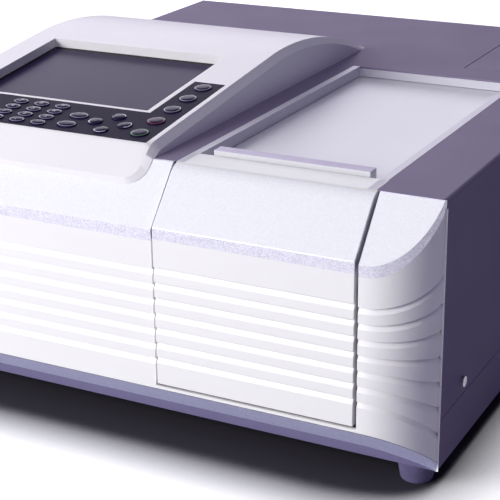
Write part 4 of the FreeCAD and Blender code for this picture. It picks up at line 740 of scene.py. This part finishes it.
def console_outward(spot):
    """Plan direction in which the console's edge faces at a point of its outline."""
    left = console_low.x + BEVEL_SIDE
    right = console_high.x - BEVEL_SIDE
    near = Vector((min(max(spot.x, left + CONSOLE_CORNER), right - CONSOLE_CORNER),
                   min(max(spot.y, FRONT - LIP_FORWARD + CONSOLE_CORNER),
                       FRONT + TAIL_BACK - CONSOLE_REAR_CORNER), spot.z))
    return (spot - near).normalized()


def console_bottom_up(back):
    """Lower edge of the console's walls: on the cover, and just above the slope before it."""
    if back > -SLOPE_START:
        return ROOF_UP
    return ROOF_UP + SLOPE_RISE * (back + SLOPE_START) + LIP_CLEAR


def build_console():
    """The console: its skin, the bevel and the walls below it, the sunk display and the pocket."""
    form = bmesh.new()
    in_window, in_pocket = console_seen(form)
    rim = [edge for edge in form.edges if edge.is_boundary]

    def down_the_bevel(spot):
        outward = console_outward(spot)
        drop = BEVEL_DROP + (BEVEL_SIDE - BEVEL_DROP) * abs(outward.x)
        lowest = FLOOR + min(spot.z - FLOOR, console_bottom_up(spot.y - FRONT))
        return Vector((spot.x + BEVEL_SIDE * outward.x, spot.y, max(spot.z - drop, lowest)))

    def down_the_wall(spot):
        return Vector((spot.x, spot.y, min(spot.z, FLOOR + console_bottom_up(spot.y - FRONT))))

    rim = drawn_out(form, rim, down_the_bevel)
    drawn_out(form, rim, down_the_wall)
    bmesh.ops.remove_doubles(form, verts=form.verts, dist=0.02)
    bmesh.ops.delete(form, geom=[face for face in form.faces if in_window(face)], context="FACES")

    def at_window(vert):
        across = window_x[0] - WINDOW_NEAR < vert.co.x < window_x[1] + WINDOW_NEAR
        along = (DISPLAY_ALONG[0] - WINDOW_NEAR < up_the_face(vert.co)
                 < DISPLAY_ALONG[1] + WINDOW_NEAR)
        return across and along and off_the_face(vert.co) < FACE_NEAR

    sill = [edge for edge in form.edges if edge.is_boundary and all(
        at_window(vert) for vert in edge.verts)]
    sink = (display_high - on_slab(0, DISPLAY_ALONG[1] + DISPLAY_HIDDEN, 0)).dot(SLAB_OUT)
    drawn_out(form, sill, lambda spot: spot + sink * SLAB_OUT)
    bmesh.ops.delete(form, geom=[face for face in form.faces if in_pocket(face)], context="FACES")
    brim = [edge for edge in form.edges if edge.is_boundary and all(
        off_the_face(vert.co) < FACE_NEAR for vert in edge.verts)]
    drawn_out(form, brim, lambda spot: spot - OVERLAY_DEEP * SLAB_OUT)
    face_outwards(form, Vector((0, 0, 1)))
    return form


console_grain = Finish("console_moulding", rgb(246, 244, 247), 0.42)
console_grain.vary(Base_Color=console_grain.mix(
    console_grain.grain(70.0), rgb(238, 236, 239), rgb(245, 243, 246)))
console_grain.bump(console_grain.grain(0.8, 2.0), 0.015)
console = add_piece("console_moulded", build_console(), "cabinet", [console_grain],
                    "console_housing")
give_wall(console, CONSOLE_WALL)
round_edges(console, CONSOLE_EASE, 3)

# Display: a pane of dark glass bonded behind the console's opening, before the panel that lights
# it. A black border along its edges is painted shade, where the opening's walls shade the pane, and the
# middle is a dull violet.
# width of the painted shade along the pane's edges
SHADE_BORDER = 3.5
left_edge = (window_x[0] + SHADE_BORDER) * MM
right_edge = (window_x[1] - SHADE_BORDER) * MM
lower_edge = on_slab(0, DISPLAY_ALONG[0] + SHADE_BORDER, 0).y * MM
upper_edge = on_slab(0, DISPLAY_ALONG[1] - SHADE_BORDER, 0).y * MM
display_glass = Finish("display_glass", rgb(70, 62, 92), 0.22, {"Specular IOR Level": 0.03})
glass_spot = display_glass.add("ShaderNodeSeparateXYZ", None, {"Vector": display_glass.place})
# inside this mask the pane is dull violet; outside it is the painted shade
clear_of_shade = (glass_spot.out("X") > left_edge) * (glass_spot.out("X") < right_edge) * (
    glass_spot.out("Y") > lower_edge) * (glass_spot.out("Y") < upper_edge)
display_glass.vary(Base_Color=display_glass.mix(clear_of_shade, rgb(4, 3, 8), rgb(48, 40, 74)))
display_glass.vary(Roughness=0.2 + 0.06 * display_glass.grain(30.0))
dress(display_glass, "display_window")

# Keypad overlay: a dark printed film with a satin face, glued into a pocket of the console's face.
# It lies flush there, in the shape of an L round the lower right corner of the display.
overlay_film = Finish("overlay_film", rgb(24, 16, 46), 0.42, {"Specular IOR Level": 0.02})
overlay_film.vary(Base_Color=overlay_film.mix(
    overlay_film.grain(25.0), rgb(22, 14, 44), rgb(28, 19, 52)))
overlay_film.bump(overlay_film.grain(0.4, 2.0), 0.01)
dress(overlay_film, "keypad_overlay")

# Keys: small domed caps of dark plastic with a printed ring. The number keys carry plain
# numerals, and the arrow keys a bright crescent on the side that they point to.
key_gloss = Finish("key_gloss", rgb(32, 24, 56), 0.25, {"Specular IOR Level": 0.06})
key_gloss.vary(Roughness=0.2 + 0.1 * key_gloss.grain(3.0), Base_Color=key_gloss.mix(
    key_gloss.grain(6.0), rgb(28, 20, 52), rgb(36, 28, 62)))
ring_grey = Finish("ring_grey", rgb(138, 136, 158), 0.4)
ring_green = Finish("ring_green", rgb(70, 128, 66), 0.4)
ring_red = Finish("ring_red", rgb(140, 36, 60), 0.4)
crescent_silver = Finish("crescent_silver", rgb(196, 196, 212), 0.3)
mark_ink = Finish("mark_print", rgb(170, 170, 188), 0.5)
for ink in (ring_grey, ring_green, ring_red, crescent_silver, mark_ink):
    ink.vary(Roughness=0.34 + 0.12 * ink.grain(1.5))
KEY_SEGMENTS = 40
KEY_BOTTOM = -3.2
KEY_HIGH = 4.5  # the CAD key from its underside to its top
RIM_INSET = 0.45
RING_WIDE = 0.75
KEY_RIM_UP = 0.75
KEY_CROWN_UP = 1.35
CROWN_LEAST = 0.2  # least half size of the innermost ring
CRESCENT_REACH = 0.25  # least cosine between a crescent's end and its direction
NUMERAL_HIGH = 6.5
INK_UP = 0.04
PRINTED_RING = (RIM_INSET + RING_WIDE, KEY_RIM_UP + 0.14)
# Each ring by its inset from the key's outline and its height above the display face.
KEY_RINGS = [(0.0, 0.3), (0.2, KEY_RIM_UP - 0.1), (RIM_INSET, KEY_RIM_UP), PRINTED_RING,
             (2.4, 1.2), (3.8, KEY_CROWN_UP)]
NUMERALS = dict(enumerate("0.-123456789", start=1))


def key_place(node):
    """Middle of a key on the display face and its half sizes there."""
    low, high = corners(node)
    middle = (low + high) / 2
    half_across = (high.x - low.x) / 2
    spread = high.y - low.y
    lean = KEY_HIGH * math.sin(SLAB_TILT)
    half_along = (spread - lean) / 2 / math.cos(SLAB_TILT)
    return Vector((middle.x, up_the_face(middle))), half_across, half_along


def build_key(node, crescent=None):
    """A domed cap: rings of an ellipse from the skirt to the crown, one of them printed."""
    middle, half_across, half_along = key_place(node)
    form = bmesh.new()
    bmesh.ops.create_circle(form, cap_ends=False, segments=KEY_SEGMENTS, radius=1.0)
    bmesh.ops.scale(form, vec=(half_across, half_along, 1), verts=form.verts)
    bmesh.ops.translate(form, vec=(0, 0, KEY_BOTTOM), verts=form.verts)

    def onto_ring(spot, inset, out):
        turn = math.atan2(spot.y / half_along, spot.x / half_across)
        return Vector((math.cos(turn) * max(half_across - inset, CROWN_LEAST),
                       math.sin(turn) * max(half_along - inset, CROWN_LEAST), out))

    printed = set()
    edges = form.edges[:]
    for inset, out in KEY_RINGS:
        edges = drawn_out(form, edges, lambda spot: onto_ring(spot, inset, out))
        if (inset, out) == PRINTED_RING:
            printed = {face for edge in edges for face in edge.link_faces}
    bmesh.ops.edgeloop_fill(form, edges=edges)
    bmesh.ops.recalc_face_normals(form, faces=form.faces)
    for face in printed:
        spot = face.calc_center_median()
        if crescent is None or spot.xy.normalized().dot(crescent) > CRESCENT_REACH:
            face.material_index = 1
    lie = Matrix.Translation(on_slab(middle.x, middle.y, 0)) @ Matrix.Rotation(SLAB_TILT, 4, "X")
    bmesh.ops.transform(form, matrix=lie, verts=form.verts)
    return form


def add_mark(key, character):
    """A printed character on a key, a flat mesh just above the crown."""
    outline = bpy.data.curves.new(key + "_mark", "FONT")
    outline.body = character
    outline.size = NUMERAL_HIGH * MM
    outline.align_x = "CENTER"
    outline.align_y = "CENTER"
    outline.resolution_u = 3
    holder = bpy.data.objects.new(key + "_letters", outline)
    bpy.context.scene.collection.objects.link(holder)
    bpy.context.view_layer.update()
    mesh = bpy.data.meshes.new_from_object(holder.evaluated_get(bpy.context.evaluated_depsgraph_get()))
    bpy.data.objects.remove(holder)
    middle, half_across, half_along = key_place(key)
    lie = Matrix.Translation(on_slab(middle.x, middle.y, KEY_CROWN_UP + INK_UP) * MM)
    mesh.transform(lie @ Matrix.Rotation(SLAB_TILT, 4, "X"))
    mesh.materials.clear()
    mesh.materials.append(mark_ink.material)
    mark = bpy.data.objects.new(key + "_mark", mesh)
    bpy.context.scene.collection.objects.link(mark)
    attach(mark, key + "_body")


ARROWS = {"left": Vector((-1, 0)), "right": Vector((1, 0)), "down": Vector((0, -1)), "up": Vector((0, 1))}
key_finishes = {f"number_key_{number}": (ring_grey, None) for number in NUMERALS}
key_finishes |= {f"oval_key_{number}": (ring_grey, None) for number in (1, 2)}
key_finishes |= {f"function_key_{number}": (ring_grey, None) for number in (3, 4, 5)}
key_finishes |= {"function_key_1": (ring_green, None), "function_key_2": (ring_red, None)}
key_finishes |= {f"arrow_key_{way}": (crescent_silver, turn) for way, turn in ARROWS.items()}
for key, (ring_ink, crescent) in key_finishes.items():
    add_piece(key + "_cap", build_key(key, crescent), key + "_body",
              [key_gloss, ring_ink], key)
for number, character in NUMERALS.items():
    add_mark(f"number_key_{number}", character)

# Studio: a pale floor with a painted shadow near the part, a soft world that is darker towards the
# right, a large lamp before on the left and one behind, two weak ones for the right corner, and the
# camera on the front right.
FLOOR_HALF = 8.0
SHADOW_PAINT_REACH = 0.075  # how far from the part the floor gets its painted shadow
FLOOR_DARK = 0.45  # openness of the floor at which the painted shadow is darkest
FLOOR_OPEN = 0.9  # and at which it has gone and the floor is pale
WORLD_TURN = 0.6  # side to side share of a direction at which the world's colour stops changing


def add_lamp(name, place, target, width, height, power, colour):
    """A soft rectangular lamp that points at its target; lengths in metres, power in watts."""
    light = bpy.data.lights.new(name, "AREA")
    light.shape = "RECTANGLE"
    light.size = width
    light.size_y = height
    light.energy = power
    light.color = colour
    lamp = bpy.data.objects.new(name, light)
    aim = (Vector(target) - Vector(place)).to_track_quat("-Z", "Y")
    lamp.matrix_world = Matrix.Translation(place) @ aim.to_matrix().to_4x4()
    bpy.context.scene.collection.objects.link(lamp)


add_lamp("front_lamp", (-1.7, -2.5, 1.15), (0, -0.15, 0.12), 1.8, 1.4, 86.0, (1.0, 1.0, 0.97))
add_lamp("rear_lamp", (-1.35, 1.9, 1.15), (0, 0, 0.2), 2.2, 1.2, 23.0, (0.93, 0.89, 1.0))
add_lamp("right_lamp", (1.8, -2.2, 1.5), (0.2, -0.2, 0.1), 1.2, 1.0, 2.0, (0.82, 0.8, 1.0))
add_lamp("top_lamp", (0.3, -1.1, 1.8), (0.15, -0.15, 0.1), 0.8, 0.8, 5.0, (0.97, 0.97, 1.0))

world = bpy.data.worlds.new("studio")
world.use_nodes = True
bpy.context.scene.world = world
tree = world.node_tree
background = tree.nodes["Background"]


class Surround(Finish):
    """The world's nodes, made with the same arithmetic."""

    def __init__(self, tree):
        self.tree = tree
        self.place = self.add("ShaderNodeTexCoord", output="Generated")


surround = Surround(tree)
direction = surround.add("ShaderNodeSeparateXYZ", None, {"Vector": surround.place})
to_the_left = surround.add("ShaderNodeMapRange", {"clamp": True}, {
    0: direction.out("X"), 1: WORLD_TURN, 2: -WORLD_TURN, 3: 0.0, 4: 1.0})
soft_light = surround.mix(to_the_left, (0.06, 0.05, 0.12, 1), (0.26, 0.25, 0.31, 1))
surround.connect(background, {"Color": soft_light, "Strength": 1.0})

floor_form = bmesh.new()
bmesh.ops.create_grid(floor_form, x_segments=1, y_segments=1, size=FLOOR_HALF)
floor_mesh = bpy.data.meshes.new("studio_floor")
floor_form.to_mesh(floor_mesh)
floor_form.free()
floor = bpy.data.objects.new("studio_floor", floor_mesh)
bpy.context.scene.collection.objects.link(floor)
floor_finish = Finish("pale_floor", rgb(236, 236, 240), 0.8, {"Specular IOR Level": 0.1})
floor_mesh.materials.append(floor_finish.material)
by_camera = floor_finish.add("ShaderNodeLightPath", output="Is Camera Ray")
seen = by_camera + by_camera.out("Is Glossy Ray") + by_camera.out("Is Transmission Ray")
# Painted shadow: where the floor's ambient occlusion is low, the camera sees it dark and without its
# glow.
openness = floor_finish.add("ShaderNodeAmbientOcclusion", {"samples": 32}, {"Distance": SHADOW_PAINT_REACH},
                            output="AO")
away = floor_finish.add("ShaderNodeMapRange", {"clamp": True}, {
    0: openness, 1: FLOOR_DARK, 2: FLOOR_OPEN, 3: 0.0, 4: 1.0})
painted_shadow_colour = floor_finish.mix(by_camera, rgb(240, 240, 243), rgb(60, 58, 64))
floor_colour = floor_finish.mix(away, painted_shadow_colour, rgb(246, 246, 247))
floor_finish.vary(Base_Color=floor_finish.mix(seen, rgb(144, 141, 164), floor_colour),
                  Emission_Color=floor_finish.mix(seen * away, (0, 0, 0, 1), (0.6, 0.6, 0.6, 1)))
floor_finish.connect(floor_finish.shader, {"Emission Strength": 1.0})

CAMERA_RIGHT = 0.52977
CAMERA_BEFORE = 1.08232
CAMERA_UP = 0.50003  # above the pan's underside
camera_data = bpy.data.cameras.new("camera")
camera_data.sensor_width = 36.0
camera_data.lens = 104.2165
camera = bpy.data.objects.new("camera", camera_data)
yaw = math.radians(27.553)
pitch = math.radians(20.7784)
roll = math.radians(-0.7502)
look = Vector((-math.sin(yaw) * math.cos(pitch), math.cos(yaw) * math.cos(pitch), -math.sin(pitch)))
level = Vector((math.cos(yaw), math.sin(yaw), 0))
upright = level.cross(look)
across_view = math.cos(roll) * level + math.sin(roll) * upright
up_view = -math.sin(roll) * level + math.cos(roll) * upright
turn = Matrix((across_view, up_view, -look)).transposed().to_4x4()
camera.matrix_world = Matrix.Translation((CAMERA_RIGHT, -CAMERA_BEFORE, FLOOR * MM + CAMERA_UP)) @ turn
bpy.context.scene.collection.objects.link(camera)
bpy.context.scene.camera = camera
bpy.context.scene.view_settings.view_transform = "Standard"
